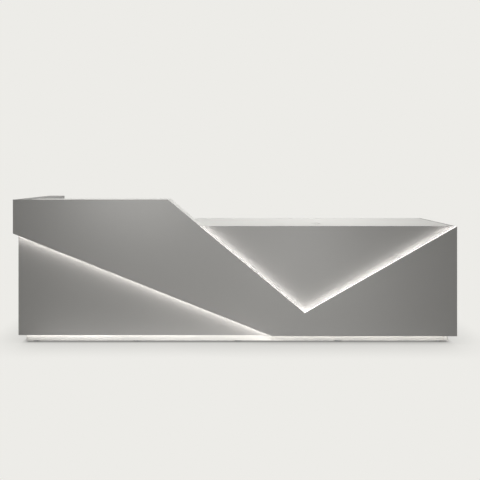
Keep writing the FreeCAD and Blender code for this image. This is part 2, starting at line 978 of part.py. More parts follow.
def cupboard_shelf():
    """Loose shelf of the cupboard."""
    x0, x1 = partition_right_x + board + shelf_side_gap, end_inner - shelf_side_gap
    return box(x0, x1, counter_back, carcass_back - shelf_setback, shelf_level, shelf_level + board)


# Cable grommets


def grommet_places():
    """Centres of the cable holes, in the middle of each knee bay."""
    y = counter_back + grommet_setback
    left_bay = return_inner + left_knee_width / 2
    right_bay = (partition_middle_x + board + partition_right_x) / 2
    return [(left_bay, y), (right_bay, y)]


grommet_outer = grommet_bore_radius - grommet_fit
grommet_inner = grommet_outer - grommet_wall
grommet_rim = grommet_bore_radius + grommet_flange
grommet_top = worktop_height + grommet_flange_board
grommet_plate_top = grommet_top - grommet_plate - grommet_play


def half_disc(radius, side, low, high):
    """Half a disc about the origin, on the front side for -1 and the rear side for 1."""
    disc = rod(radius, (0, 0, low), (0, 0, high))
    ys = sorted((0, side * 2 * radius))
    return disc.common(box(-2 * radius, 2 * radius, ys[0], ys[1], low, high))


def grommet_liner():
    """Flanged liner with a fixed half cover and a hub for the turning half."""
    tube = rod(grommet_outer, (0, 0, worktop_under), (0, 0, worktop_height))
    flange = rod(grommet_rim, (0, 0, worktop_height), (0, 0, grommet_top))
    bore = rod(grommet_inner, (0, 0, worktop_under), (0, 0, grommet_top))
    low, high = grommet_plate_top - grommet_plate, grommet_plate_top
    cover = half_disc(grommet_inner, -1, low, high).fuse(rod(grommet_hub_radius, (0, 0, low), (0, 0, high)))
    cover = cover.cut(rod(grommet_pivot_radius + grommet_pivot_clearance, (0, 0, low), (0, 0, high)))
    return tube.fuse(flange).cut(bore).fuse(cover).removeSplitter()


def grommet_liners():
    """Liners of both cable holes."""
    liner = grommet_liner()
    return group([liner.translated(V(x, y, 0)) for x, y in grommet_places()])


def grommet_cover(index):
    """Turning half cover with its pivot and a notch for a cable or a fingertip."""
    radius = grommet_inner - grommet_play
    low, high = grommet_top - grommet_plate, grommet_top
    cover = half_disc(radius, 1, low, high).fuse(rod(grommet_hub_radius, (0, 0, low), (0, 0, high)))
    cover = cover.cut(rod(grommet_notch_radius, (0, radius, low), (0, radius, high)))
    pivot = rod(grommet_pivot_radius, (0, 0, grommet_plate_top - grommet_plate), (0, 0, low))
    x, y = grommet_places()[index]
    return cover.fuse(pivot).removeSplitter().translated(V(x, y, 0))


# Services under the worktop

cable_tray_x = return_inner + cable_tray_inset
cable_tray_y = counter_back
cable_tray_low = worktop_under - cable_tray_drop


def cable_tray():
    """Folded sheet hung from the worktop, open towards the staff."""
    y0, y1 = cable_tray_y, cable_tray_y + cable_tray_depth
    sheet = tray_sheet
    top, low = worktop_under, cable_tray_low
    lip, flange = low + cable_tray_lip, y0 + cable_tray_flange
    outline = [(y0, top), (y0, low), (y1, low), (y1, lip), (y1 - sheet, lip), (y1 - sheet, low + sheet),
               (y0 + sheet, low + sheet), (y0 + sheet, top - sheet), (flange, top - sheet), (flange, top)]
    tray = prism_yz(outline, cable_tray_x, cable_tray_x + cable_tray_length)
    return tray.cut(lead_bores())


def driver_ends(index):
    """Left and right end of one driver's case."""
    x0 = cable_tray_x + driver_first + index * (driver_length + driver_spacing)
    return x0, x0 + driver_length


def led_drivers():
    """Two power supplies lying in the tray, each with a screw ear at both ends."""
    y0 = cable_tray_y + (cable_tray_depth - driver_depth) / 2
    y1 = y0 + driver_depth
    low = cable_tray_low + tray_sheet
    solids = []
    for index in range(2):
        x0, x1 = driver_ends(index)
        case = box(x0, x1, y0, y1, low, low + driver_height)
        ears = box(x0 - driver_ear, x1 + driver_ear, y0, y1, low, low + driver_ear_board)
        solids.append(case.fuse(ears).removeSplitter())
    return group(solids)


def lead_line():
    """Depth and height of the leads' run inside the front wall."""
    return (core_back + lining_front) / 2, cable_tray_low + tray_sheet + lead_rise


def lead_routes():
    """Corners of each lead: out of a driver, through the lining, along the wall, to a channel's back."""
    y_wall, z_line = lead_line()
    y_tray = cable_tray_y + cable_tray_depth / 2
    half = channel_depth / 2
    first, second = driver_ends(0), driver_ends(1)
    routes = []
    feeds = (
        (second[1], z_line + lead_spacing / 2, at_x(rising_edge(half), VALLEY[0] + valley_feed)),
        (first[1], z_line - lead_spacing / 2, at_x(lower_edge(half), left + lower_feed)),
    )
    for start, z, (x_feed, z_feed) in feeds:
        turn = start + lead_run_out
        routes.append([(start, y_tray, z), (turn, y_tray, z), (turn, y_wall, z), (x_feed, y_wall, z),
                       (x_feed, y_wall, z_feed), (x_feed, core_front, z_feed)])
    turn = first[0] - lead_run_out
    y_plinth = core_back + plinth_channel_offset + plinth_channel_width / 2
    routes.append([(first[0], y_tray, z_line), (turn, y_tray, z_line), (turn, y_plinth, z_line),
                   (turn, y_plinth, body_clearance)])
    return routes


def lead_bores():
    """Clearance holes along every straight run of the leads."""
    radius = lead_radius + lead_hole_clearance
    return group([rod(radius, start, end) for route in lead_routes() for start, end in zip(route, route[1:])])


def lead(route):
    """A round lead along straight runs joined by tangent bends."""
    corners = [V(*p) for p in route]
    edges = []
    start = corners[0]
    for before, corner, after in zip(corners, corners[1:], corners[2:]):
        back_way = (before - corner).normalize()
        on_way = (after - corner).normalize()
        enter, leave = corner + back_way * lead_bend, corner + on_way * lead_bend
        centre = enter + on_way * lead_bend
        middle = centre + (corner - centre).normalize() * lead_bend
        edges += [Part.LineSegment(start, enter).toShape(), Part.Arc(enter, middle, leave).toShape()]
        start = leave
    edges.append(Part.LineSegment(start, corners[-1]).toShape())
    path = Part.Wire(edges)
    section = Part.Wire(Part.makeCircle(lead_radius, corners[0], corners[1] - corners[0]))
    solid = path.makePipeShell([section], True, False)
    expected = math.pi * lead_radius ** 2 * path.Length
    print("lead", round(path.Length), "mm long, volume ratio", round(solid.Volume / expected, 5))
    return solid


def led_leads():
    """The three leads of the lights."""
    return group([lead(route) for route in lead_routes()])


switch_box_right = partition_left_x - switch_box_inset - bracket_leg
switch_box_back = carcass_back - switch_box_setback
rocker_x = switch_box_right - switch_box_length + rocker_inset
rocker_y = switch_box_back - rocker_depth / 2
rocker_z = worktop_under - switch_box_height / 2


def power_box():
    """Switch box under the worktop: a pocket for the rocker at the rear and a mains inlet at the front."""
    x0, x1 = switch_box_right - switch_box_length, switch_box_right
    y0, y1 = switch_box_back - switch_box_depth, switch_box_back
    case = box(x0, x1, y0, y1, worktop_under - switch_box_height, worktop_under)
    half_x = rocker_length / 2 + rocker_end_room
    half_z = rocker_width / 2 + rocker_side_room
    pocket = box(rocker_x - half_x, rocker_x + half_x, y1 - rocker_depth - rocker_back_room, y1,
                 rocker_z - half_z, rocker_z + half_z)
    reach = rocker_width / 2 + rocker_pivot_reach
    pivot = rod(rocker_pivot_radius + rocker_pivot_clearance,
                (rocker_x, rocker_y, rocker_z - reach), (rocker_x, rocker_y, rocker_z + reach))
    return case.cut(pocket.fuse(pivot)).cut(inlet_pocket(y0))


def inlet_pocket(y0):
    """Three-pin inlet opening with two cut corners."""
    x = (switch_box_right - switch_box_length / 2 + switch_box_right) / 2
    half = inlet_width / 2
    low, high = rocker_z - inlet_height / 2, rocker_z + inlet_height / 2
    corner = inlet_corner
    outline = [(x - half, low), (x + half, low), (x + half, high - corner), (x + half - corner, high),
               (x - half + corner, high), (x - half, high - corner)]
    return prism_xz(outline, y0, y0 + inlet_depth)


def power_rocker():
    """Rocker of the light switch, tipped to its on side."""
    half = rocker_length / 2
    face = rocker_depth / 2 + rocker_proud
    heel = -rocker_depth / 2
    plan = [(-half, heel + rocker_dish), (0, heel), (half, heel + rocker_dish),
            (half, face), (0, face - rocker_dish), (-half, face)]
    low, high = -rocker_width / 2, rocker_width / 2
    body = prism_xy(plan, low, high)
    pivot_low, pivot_high = low - rocker_pivot_reach, high + rocker_pivot_reach
    body = body.fuse(rod(rocker_pivot_radius, (0, 0, pivot_low), (0, 0, pivot_high))).removeSplitter()
    body.rotate(V(0, 0, 0), V(0, 0, 1), rocker_tilt)
    return body.translated(V(rocker_x, rocker_y, rocker_z))


def pieces():
    """Every node of the desk, by name."""
    made = {
        "front_cladding": front_cladding(),
        "side_cladding": side_cladding(),
        "cladding_battens": cladding_battens(),
        "counter_cap": counter_cap(),
        "slope_cap": slope_cap(),
        "return_cap": return_cap(),
        "parapet_lining": parapet_lining(),
        "wall_ribs": wall_ribs(),
        "core_front_panel": core_front_panel(),
        "left_gable": left_gable(),
        "return_lining": return_lining(),
        "return_end_panel": return_end_panel(),
        "right_end_panel": right_end_panel(),
        "modesty_panel": modesty_panel(),
        "bottom_boards": bottom_boards(),
        "pedestal_sides": pedestal_sides(),
        "cupboard_side": cupboard_side(),
        "worktop": worktop(),
        "worktop_brackets": worktop_brackets(),
        "lock_strike": lock_strike(),
        "plinth_front_board": plinth_front_board(),
        "plinth_end_boards": plinth_end_boards(),
        "plinth_inner_boards": plinth_inner_boards(),
        "plinth_rear_boards": plinth_rear_boards(),
        "levelling_blocks": levelling_blocks(),
        "levelling_feet": levelling_feet(),
        "led_channels": led_channels(),
        "led_tapes": led_tapes(),
        "valley_diffusers": valley_diffusers(),
        "lower_diffusers": lower_diffusers(),
        "plinth_diffuser": plinth_diffuser(),
        "led_drivers": led_drivers(),
        "led_leads": led_leads(),
        "cable_tray": cable_tray(),
        "power_box": power_box(),
        "power_rocker": power_rocker(),
        "drawer_rails": drawer_rails(),
        "drawer_lock": drawer_lock(),
        "cupboard_door": cupboard_door(),
        "door_handle": door_handle(),
        "hinge_frame_leaves": hinge_frame_leaves(),
        "hinge_door_leaves": hinge_door_leaves(),
        "hinge_pins": hinge_pins(),
        "cupboard_shelf": cupboard_shelf(),
        "shelf_pins": shelf_pins(),
        "grommet_liners": grommet_liners(),
        "grommet_cover_left": grommet_cover(0),
        "grommet_cover_right": grommet_cover(1),
    }
    for name in FRONT_LEVELS:
        made["drawer_front_" + name] = drawer_front(name)
        made["drawer_tray_" + name] = drawer_tray(name)
        made["drawer_runners_" + name] = drawer_runners(name)
        made["drawer_handle_" + name] = drawer_handle(name)
    return made


os.makedirs("parts", exist_ok=True)
for node, shape in pieces().items():
    if not shape.isValid() or any(solid.Volume <= 0 for solid in shape.Solids):
        raise RuntimeError(node + " is not a sound solid")
    shape.exportStep("parts/" + node + ".step")
    print(node, len(shape.Solids), round(shape.Volume / 1e6, 4), "litres")
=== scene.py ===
# %% [markdown]
# # A lit reception desk, finished in Blender
#
# The desk arrives as solids at their real size, each with its own name. This lesson gives every one of them
# its finish, adds the small hardware that a workshop fits last, and lights the desk as in a plain studio. All
# lengths are metres, +X is the visitor's right, +Y is towards the staff and +Z is up.

# %% Load the desk
import json
import math

import bmesh
import bpy
from mathutils import Matrix, Vector


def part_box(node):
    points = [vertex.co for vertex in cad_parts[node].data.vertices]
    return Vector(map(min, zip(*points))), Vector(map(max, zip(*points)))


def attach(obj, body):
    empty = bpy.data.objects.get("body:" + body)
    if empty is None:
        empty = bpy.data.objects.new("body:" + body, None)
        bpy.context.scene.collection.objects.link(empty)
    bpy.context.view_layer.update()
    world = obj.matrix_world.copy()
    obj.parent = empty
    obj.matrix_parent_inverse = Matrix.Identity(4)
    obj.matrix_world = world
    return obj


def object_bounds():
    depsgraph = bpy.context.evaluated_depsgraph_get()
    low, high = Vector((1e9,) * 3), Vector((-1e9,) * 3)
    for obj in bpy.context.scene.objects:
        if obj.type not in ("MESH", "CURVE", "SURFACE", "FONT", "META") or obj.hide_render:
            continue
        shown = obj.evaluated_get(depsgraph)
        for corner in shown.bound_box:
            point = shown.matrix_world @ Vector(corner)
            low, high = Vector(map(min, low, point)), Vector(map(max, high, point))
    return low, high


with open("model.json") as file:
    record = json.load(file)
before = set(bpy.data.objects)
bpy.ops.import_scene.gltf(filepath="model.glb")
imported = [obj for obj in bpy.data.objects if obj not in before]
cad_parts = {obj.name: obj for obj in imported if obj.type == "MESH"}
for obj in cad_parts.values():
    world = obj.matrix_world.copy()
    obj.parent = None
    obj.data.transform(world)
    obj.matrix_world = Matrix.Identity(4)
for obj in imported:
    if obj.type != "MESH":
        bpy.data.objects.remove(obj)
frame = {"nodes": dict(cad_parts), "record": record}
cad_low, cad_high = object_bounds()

nodes = frame["nodes"]
record = frame["record"]
scene = bpy.context.scene


def rounded(values):
    """Values with three decimals, for printing."""
    return [round(value, 3) for value in values]


print("desk", rounded(high - low for low, high in zip(cad_low, cad_high)), "m,", len(nodes), "nodes")

# %% [markdown]
# ## Camera
#
# The photograph was taken square to the front, a little above the counter, and the picture was then
# cropped, so its vanishing point isn't in its middle. Turning the camera down would make the uprights
# lean. Shifting the sensor keeps them upright, as a view camera does.

# %% Camera
PICTURE_SIDE = 480.0
VANISHING_POINT = (235.0, 175.8)
CAMERA_PLACE = (0.0, -4.42, 1.257)
LENS_MM = 40.6
SENSOR_MM = 36.0

camera_data = bpy.data.cameras.new("photo_camera")
camera_data.lens = LENS_MM
camera_data.sensor_width = SENSOR_MM
camera_data.shift_x = 0.5 - VANISHING_POINT[0] / PICTURE_SIDE
camera_data.shift_y = VANISHING_POINT[1] / PICTURE_SIDE - 0.5
camera = bpy.data.objects.new("photo_camera", camera_data)
camera.location = CAMERA_PLACE
camera.rotation_euler = (math.radians(90.0), 0.0, 0.0)
scene.collection.objects.link(camera)
scene.camera = camera
scene.view_settings.view_transform = "Standard"
print("camera shift", rounded((camera_data.shift_x, camera_data.shift_y)))

# %% [markdown]
# ## Helpers for shader nodes
#
# A material is a small graph. A few helpers keep the cells short. One turns the usual 0 to 255 colour values
# into the linear light values that shaders expect, and one adds a node and fills its inputs with numbers or
# with links. The others are the sums and mixes that nearly every finish needs.

# %% Helpers for shader nodes
def linear(red, green, blue):
    """A display colour from 0 to 255 as linear light with full alpha, by the usual display curve."""
    values = []
    for share in (red / 255.0, green / 255.0, blue / 255.0):
        low = share <= 0.04045
        values.append(share / 12.92 if low else ((share + 0.055) / 1.055) ** 2.4)
    return (*values, 1.0)


def add(tree, kind, inputs=None, **settings):
    """A node whose inputs, by name or number, take values or links."""
    node = tree.nodes.new(kind)
    for name, value in settings.items():
        setattr(node, name, value)
    for key, value in (inputs or {}).items():
        if isinstance(value, bpy.types.NodeSocket):
            tree.links.new(value, node.inputs[key])
        else:
            node.inputs[key].default_value = value
    return node


def maths(tree, operation, first, second=0.0, clamp=False):
    """The result of a sum on one or two values."""
    inputs = {0: first, 1: second}
    return add(tree, "ShaderNodeMath", inputs, operation=operation, use_clamp=clamp).outputs[0]


def ramp(tree, value, start, end):
    """A value eased from 0 at start to 1 at end."""
    inputs = {"Value": value, "From Min": start, "From Max": end}
    return add(tree, "ShaderNodeMapRange", inputs, interpolation_type="SMOOTHSTEP").outputs[0]


def mixed(tree, mask, below, above):
    """One colour laid over another by a mask."""
    inputs = {0: mask, 6: below, 7: above}
    return add(tree, "ShaderNodeMix", inputs, data_type="RGBA").outputs[2]


PALE = linear(237, 236, 232)
print("pale studio grey is", rounded(PALE))

# %% [markdown]
# ## Floor
#
# The desk stands in an endless pale room with no line between floor and wall. A curved backdrop could give
# that, but its bend would show from other sides. One wide level floor does it too, if rays from the camera
# see the same plain colour on it as in the world above. Two Ambient Occlusion nodes keep the desk's shadow: a
# wide one for the soft band round it, and a close one for the dark gap under the plinth. All other rays meet
# an ordinary lit floor, so it still bounces light on the front.

# %% Floor
FLOOR_TONE = linear(236, 235, 231)
FLOOR_RADIUS = 60.0
FLOOR_SIDES = 64
# how far a shadow reaches, and how much light it takes away
SOFT_SHADOW = (0.34, 0.42)
GAP_SHADOW = (0.04, 0.92)
SHADOW_SAMPLES = 16


def seen_directly(tree):
    """1 for rays from the camera, from mirror-like surfaces and through glass."""
    rays = tree.nodes.new("ShaderNodeLightPath").outputs
    straight = maths(tree, "MAXIMUM", rays["Is Camera Ray"], rays["Is Glossy Ray"])
    return maths(tree, "MAXIMUM", straight, rays["Is Transmission Ray"])


def floor_material():
    """Pale and even, darker where the desk covers it."""
    material = bpy.data.materials.new("studio_floor")
    material.use_nodes = True
    tree = material.node_tree
    tree.nodes.clear()
    shade = 1.0
    for reach, depth in (SOFT_SHADOW, GAP_SHADOW):
        open_sky = add(tree, "ShaderNodeAmbientOcclusion", {"Distance": reach}, samples=SHADOW_SAMPLES)
        covered = maths(tree, "MULTIPLY", maths(tree, "SUBTRACT", 1.0, open_sky.outputs["AO"]), depth)
        shade = maths(tree, "MULTIPLY", shade, maths(tree, "SUBTRACT", 1.0, covered))
    lit = add(tree, "ShaderNodeBsdfDiffuse", {"Color": FLOOR_TONE}).outputs[0]
    shown = add(tree, "ShaderNodeEmission", {"Color": PALE, "Strength": shade}).outputs[0]
    surface = add(tree, "ShaderNodeMixShader", {0: seen_directly(tree), 1: lit, 2: shown}).outputs[0]
    add(tree, "ShaderNodeOutputMaterial", {"Surface": surface})
    return material


floor_mesh = bpy.data.meshes.new("studio_floor")
outline = bmesh.new()
bmesh.ops.create_circle(outline, cap_ends=True, segments=FLOOR_SIDES, radius=FLOOR_RADIUS)
outline.to_mesh(floor_mesh)
outline.free()
floor_mesh.materials.append(floor_material())
floor = bpy.data.objects.new("studio_floor", floor_mesh)
scene.collection.objects.link(floor)
print("floor", 2.0 * FLOOR_RADIUS, "m across, soft shadow band", SOFT_SHADOW[0], "m")

# %% [markdown]
# ## World
#
# Rays that miss the floor see the world. The camera and mirror-like faces see it in the floor's pale colour,
# so metal parts reflect a room and not a black void. Only a little of it lights the desk: a bright world
# would light all sides alike, and the photograph's front has a clear fall-off, which lamps can give.

# %% World
WORLD_LIGHT = 0.04

world = bpy.data.worlds.new("studio_world")
scene.world = world
world.use_nodes = True
sky = world.node_tree
sky.nodes.clear()
soft_sky = add(sky, "ShaderNodeBackground", {"Color": PALE, "Strength": WORLD_LIGHT}).outputs[0]
shown_sky = add(sky, "ShaderNodeBackground", {"Color": PALE, "Strength": 1.0}).outputs[0]
room = add(sky, "ShaderNodeMixShader", {0: seen_directly(sky), 1: soft_sky, 2: shown_sky}).outputs[0]
add(sky, "ShaderNodeOutputWorld", {"Surface": room})
print("world lights the desk with", WORLD_LIGHT, "of what the camera sees")

# %% [markdown]
# ## Studio lamps
#
# The photograph's front is brightest at the upper middle and falls off smoothly to both ends. One soft
# lamp above and before the desk gives that fall-off, and stands high enough for the overhang to shade the
# plinth. Weak ones near the front lift what a bright room throws back there: the tall counter and its upper
# edge, the panel in the valley, and the foot of the front, which catches light from the floor. One lamp hangs
# over the worktop and one over the return wall. The lamps behind the desk and at its ends are for the other
# views. Mirror images of the lamps would lie as white patches on the tops, so glossy faces show the pale room
# and not the lamps.

# %% Studio lamps
LAMPS = {
    # name: (place, target, width, height, watts)
    "front_lamp": ((0.3, -2.9, 1.2), (0.25, -0.4, 0.25), 1.8, 0.7, 27.3),
    "counter_lamp": ((-0.8, -1.2, 1.8), (-0.8, -0.4, 0.95), 0.6, 0.4, 6.4),
    "upper_edge_lamp": ((-0.75, -0.85, 1.06), (-0.75, -0.4, 1.03), 0.8, 0.08, 0.62),
    "valley_lamp": ((0.55, -1.1, 0.8), (0.55, -0.4, 0.65), 0.4, 0.3, 1.37),
    "worktop_lamp": ((0.82, 0.1, 2.3), (0.82, 0.1, 0.88), 0.9, 0.7, 13.2),
    "return_lamp": ((-1.35, 0.25, 2.3), (-1.45, 0.1, 1.08), 0.8, 0.6, 6.5),
    "rear_lamp": ((0.1, 3.1, 1.35), (0.0, 0.3, 0.45), 2.6, 1.0, 60.0),
    "left_lamp": ((-3.7, 0.3, 1.1), (-1.65, 0.2, 0.5), 1.2, 0.9, 24.0),
    "right_lamp": ((3.7, 0.3, 1.1), (1.65, 0.2, 0.4), 1.2, 0.9, 24.0),
    "floor_lamp": ((-0.2, -0.8, 0.03), (-0.2, -0.4, 0.15), 2.8, 0.25, 0.72),
    "left_foot_lamp": ((-0.63, -0.5, 0.012), (-0.63, -0.38, 0.075), 1.66, 0.06, 0.54),
    "right_foot_lamp": ((0.9, -0.5, 0.012), (0.9, -0.38, 0.075), 1.4, 0.06, 0.16),
}


def lamp_panel(name, width, height, watts):
    """A rectangular lamp that the camera doesn't see."""
    data = bpy.data.lights.new(name, "AREA")
    data.shape = "RECTANGLE"
    data.size = width
    data.size_y = height
    data.energy = watts
    lamp = bpy.data.objects.new(name, data)
    lamp.visible_camera = False
    scene.collection.objects.link(lamp)
    return lamp


for name, (place, target, width, height, watts) in LAMPS.items():
    lamp = lamp_panel(name, width, height, watts)
    lamp.location = place
    lamp.rotation_euler = (Vector(target) - Vector(place)).to_track_quat("-Z", "Y").to_euler()
    lamp.visible_glossy = False
print("lamps", list(LAMPS))

# %% [markdown]
# ## Effects that several finishes share
#
# Real boards, sheets and bars are never one flat tone. Broad drift in tone, a fine stipple, brushed lines,
# edges that rubbing makes a little brighter and that are also painted brighter as a highlight, and dust on
# level faces turn up again and again. They could be painted on each piece, but a computed pattern needs no
# unwrapping and has no seams. Each effect is built once as a node group with its own dials, and every
# finish places it with its own values.

# %% Effects that several finishes share
EFFECTS = {}


def effect(name, dials, result):
    """An empty node group with named dials and one named result."""
    group = bpy.data.node_groups.new(name, "ShaderNodeTree")
    for label, value in dials.items():
        kind = "NodeSocketVector" if isinstance(value, tuple) else "NodeSocketFloat"
        group.interface.new_socket(label, in_out="INPUT", socket_type=kind).default_value = value
    group.interface.new_socket(result, in_out="OUTPUT", socket_type="NodeSocketFloat")
    EFFECTS[name] = group
    return group, group.nodes.new("NodeGroupInput").outputs, group.nodes.new("NodeGroupOutput").inputs[0]


def use(tree, name, **dials):
    """Places a shared effect and gives its result."""
    node = tree.nodes.new("ShaderNodeGroup")
    node.node_tree = EFFECTS[name]
    for label, value in dials.items():
        node.inputs[label].default_value = value
    return node.outputs[0]


def place_of(tree, stretch=(1.0, 1.0, 1.0)):
    """Position on the piece itself, so that a pattern travels with it."""
    here = tree.nodes.new("ShaderNodeTexCoord").outputs["Object"]
    return add(tree, "ShaderNodeVectorMath", {0: here, 1: stretch}, operation="MULTIPLY").outputs[0]


def noise(tree, place, scale, detail=2.0, roughness=0.5):
    """Cloudy noise between 0 and 1."""
    inputs = {"Vector": place, "Scale": scale, "Detail": detail, "Roughness": roughness}
    return add(tree, "ShaderNodeTexNoise", inputs).outputs[0]


print("effects so far", len(EFFECTS))

# %% [markdown]
# ## Drift, stipple and brushed lines
#
# One sheet of board differs a little from the next. Laminate, powder coat and moulded plastic have fine pits,
# and bars carry the lines of a sanding belt. All three are cloudy noise: very wide for the drift, two small
# sizes added up for the pits, and pulled out along one direction for the lines.

# %% Drift, stipple and brushed lines
COARSE_SHARE = 0.6
FINE_SCALE = 2.7


def build_tone_drift():
    """A factor near 1 that changes slowly."""
    group, dial, result = effect("tone_drift", {"Size": 0.6, "Amount": 0.04}, "Tone")
    cloud = noise(group, place_of(group), maths(group, "DIVIDE", 1.0, dial["Size"]), 3.0)
    swing = maths(group, "MULTIPLY", maths(group, "SUBTRACT", cloud, 0.5), 2.0)
    tone = maths(group, "ADD", 1.0, maths(group, "MULTIPLY", swing, dial["Amount"]))
    group.links.new(tone, result)


def build_stipple():
    """The height of fine even pits."""
    group, dial, result = effect("stipple", {"Size": 0.001}, "Height")
    scale = maths(group, "DIVIDE", 1.0, dial["Size"])
    coarse = noise(group, place_of(group), scale, 1.0)
    fine = noise(group, place_of(group), maths(group, "MULTIPLY", scale, FINE_SCALE), 2.0)
    deep = maths(group, "MULTIPLY", coarse, COARSE_SHARE)
    shallow = maths(group, "MULTIPLY", fine, 1.0 - COARSE_SHARE)
    group.links.new(maths(group, "ADD", deep, shallow), result)


def build_brushed():
    """Fine lines along the direction with the smallest stretch."""
    group, dial, result = effect("brushed", {"Stretch": (1.0, 1.0, 1.0)}, "Line")
    group.links.new(noise(group, place_of(group, dial["Stretch"]), 1.0, 3.0, 0.6), result)


build_tone_drift()
build_stipple()
build_brushed()
print("effects so far", list(EFFECTS))

# %% [markdown]
# ## Rubbed edges, painted edge highlights and dust
#
# Hands, cloths and shoes rub outer edges, and dust settles on what is level. The lighter edge is also a
# painted highlight, for the light that a rounded edge catches. The Bevel node finds an edge by bending the
# normal near it, so the mask needs no texture painting and fits any shape. Noise breaks it up, because
# rubbing is never even. Dust is found from the normal too: it lies where the normal points up.

# %% Rubbed edges, painted edge highlights and dust
EDGE_SAMPLES = 4
EDGE_BEND = (0.985, 0.86)
LEAST_WEAR = 0.35
WEAR_SCALE = 38.0
DUST_SCALE = 9.0
LEVEL_FROM = (0.6, 0.98)


def build_edge_wear_and_highlight():
    """Mask of a piece's outer edges, broken up by noise: rubbing, and a painted highlight."""
    group, dial, result = effect("edge_wear_and_highlight", {"Width": 0.001, "Wear": 0.5}, "Mask")
    rounding = add(group, "ShaderNodeBevel", {"Radius": dial["Width"]}, samples=EDGE_SAMPLES).outputs[0]
    flat = group.nodes.new("ShaderNodeNewGeometry").outputs["Normal"]
    level = add(group, "ShaderNodeVectorMath", {0: rounding, 1: flat}, operation="DOT_PRODUCT")
    # the edge mask stands for rubbing and for a painted highlight along every outer edge
    edge = ramp(group, level.outputs["Value"], *EDGE_BEND)
    patches = ramp(group, noise(group, place_of(group), WEAR_SCALE, 3.0, 0.7), 0.35, 0.65)
    patchy = maths(group, "ADD", LEAST_WEAR, maths(group, "MULTIPLY", patches, 1.0 - LEAST_WEAR))
    worn_and_highlit = maths(group, "MULTIPLY", edge, patchy)
    group.links.new(maths(group, "MULTIPLY", worn_and_highlit, dial["Wear"], clamp=True), result)


def build_dust():
    """Mask of thin dust that lies on level faces."""
    group, dial, result = effect("dust", {"Amount": 0.1}, "Mask")
    normal = group.nodes.new("ShaderNodeNewGeometry").outputs["Normal"]
    upward = ramp(group, add(group, "ShaderNodeSeparateXYZ", {0: normal}).outputs[2], *LEVEL_FROM)
    drifts = ramp(group, noise(group, place_of(group), DUST_SCALE, 6.0, 0.65), 0.3, 0.8)
    settled = maths(group, "MULTIPLY", upward, drifts)
    group.links.new(maths(group, "MULTIPLY", settled, dial["Amount"]), result)


build_edge_wear_and_highlight()
build_dust()
print("effects", list(EFFECTS))

# %% [markdown]
# ## Starting a finish
#
# Most of the desk's finishes have the same parts: a base tone that drifts, some grain in the roughness, and a
# bump. The helpers make the shader with its plain settings, and link what changes over the surface. The
# plain colours that came with the file are taken off first.

# %% Starting a finish
FINISHES = {}


def finish(name, roughness, metallic=0.0):
    """A new material: its node tree, and its shader with plain settings."""
    material = bpy.data.materials.new(name)
    material.use_nodes = True
    FINISHES[name] = material
    shader = material.node_tree.nodes["Principled BSDF"]
    shader.inputs["Roughness"].default_value = roughness
    shader.inputs["Metallic"].default_value = metallic
    return material.node_tree, shader


def toned(tree, colour, factor):
    """A colour made lighter or darker by a factor that varies over the surface."""
    grey = add(tree, "ShaderNodeCombineColor", {0: factor, 1: factor, 2: factor}).outputs[0]
    inputs = {0: 1.0, 6: colour, 7: grey}
    return add(tree, "ShaderNodeMix", inputs, data_type="RGBA", blend_type="MULTIPLY").outputs[2]


def coloured(tree, shader, colour):
    """Gives the shader its base colour."""
    tree.links.new(colour, shader.inputs["Base Color"])


def grained(tree, shader, pattern, low, high):
    """Roughness that follows a pattern between two values."""
    inputs = {"Value": pattern, "To Min": low, "To Max": high}
    tree.links.new(add(tree, "ShaderNodeMapRange", inputs).outputs[0], shader.inputs["Roughness"])


def bump(tree, shader, height, depth):
    """Presses a height pattern of a given depth into the surface."""
    inputs = {"Height": height, "Distance": depth, "Strength": 1.0}
    tree.links.new(add(tree, "ShaderNodeBump", inputs).outputs[0], shader.inputs["Normal"])


for node in nodes.values():
    node.data.materials.clear()
for plain_colour in list(bpy.data.materials):
    if plain_colour.users == 0:
        bpy.data.materials.remove(plain_colour)
print("materials left", [material.name for material in bpy.data.materials])

# %% [markdown]
# ## Pressed faces: laminate, melamine and powder coat
#
# The face boards and the core are covered in a matt warm-grey laminate, the cabinet in a pale melamine, and
# the brackets, trays and angles in powder coat. From a step away all three are smooth. Close up they have a
# fine pressed texture or orange peel, and their edges catch a little more light. Pictures of the sheets would
# blur so close, so the texture is computed. One recipe serves all three, each with its own values.

# %% Pressed faces
def pressed_face(name, tone, worn_and_highlit_tone, pit, drift, wear_and_highlight, gloss, depth):
    """A face with pits of a size and depth; drift, and the edge band of rubbing and painted highlight, each
    have a size and an amount.
    """
    tree, shader = finish(name, 0.5)
    pits = use(tree, "stipple", Size=pit)
    face = toned(tree, tone, use(tree, "tone_drift", Size=drift[0], Amount=drift[1]))
    # edges are painted lighter: rubbing, and a painted highlight of the light that they catch
    edge = use(tree, "edge_wear_and_highlight", Width=wear_and_highlight[0], Wear=wear_and_highlight[1])
    coloured(tree, shader, mixed(tree, edge, face, worn_and_highlit_tone))
    grained(tree, shader, pits, *gloss)
    bump(tree, shader, pits, depth)


pressed_face("grey_laminate", linear(150, 149, 147), linear(176, 175, 172), pit=0.0012,
             drift=(0.7, 0.018), wear_and_highlight=(0.0012, 0.5), gloss=(0.42, 0.58), depth=0.00004)
pressed_face("cabinet_board", linear(205, 204, 200), linear(228, 227, 223), pit=0.0016,
             drift=(0.4, 0.02), wear_and_highlight=(0.001, 0.35), gloss=(0.44, 0.6), depth=0.00006)
pressed_face("powder_coat", linear(196, 196, 194), linear(216, 216, 214), pit=0.0018,
             drift=(0.2, 0.02), wear_and_highlight=(0.0008, 0.4), gloss=(0.4, 0.58), depth=0.00008)
print("finishes so far", list(FINISHES))

# %% [markdown]
# ## White tops and plinth
#
# The counter caps and the worktop are board in a satin white laminate with faint specks, which goes on round
# the edges, so there is no edge strip to model. Noise with only its peaks kept gives the specks. The plinth is
# a white board that shoes scuff, so its lowest part has faint streaks that run along it.

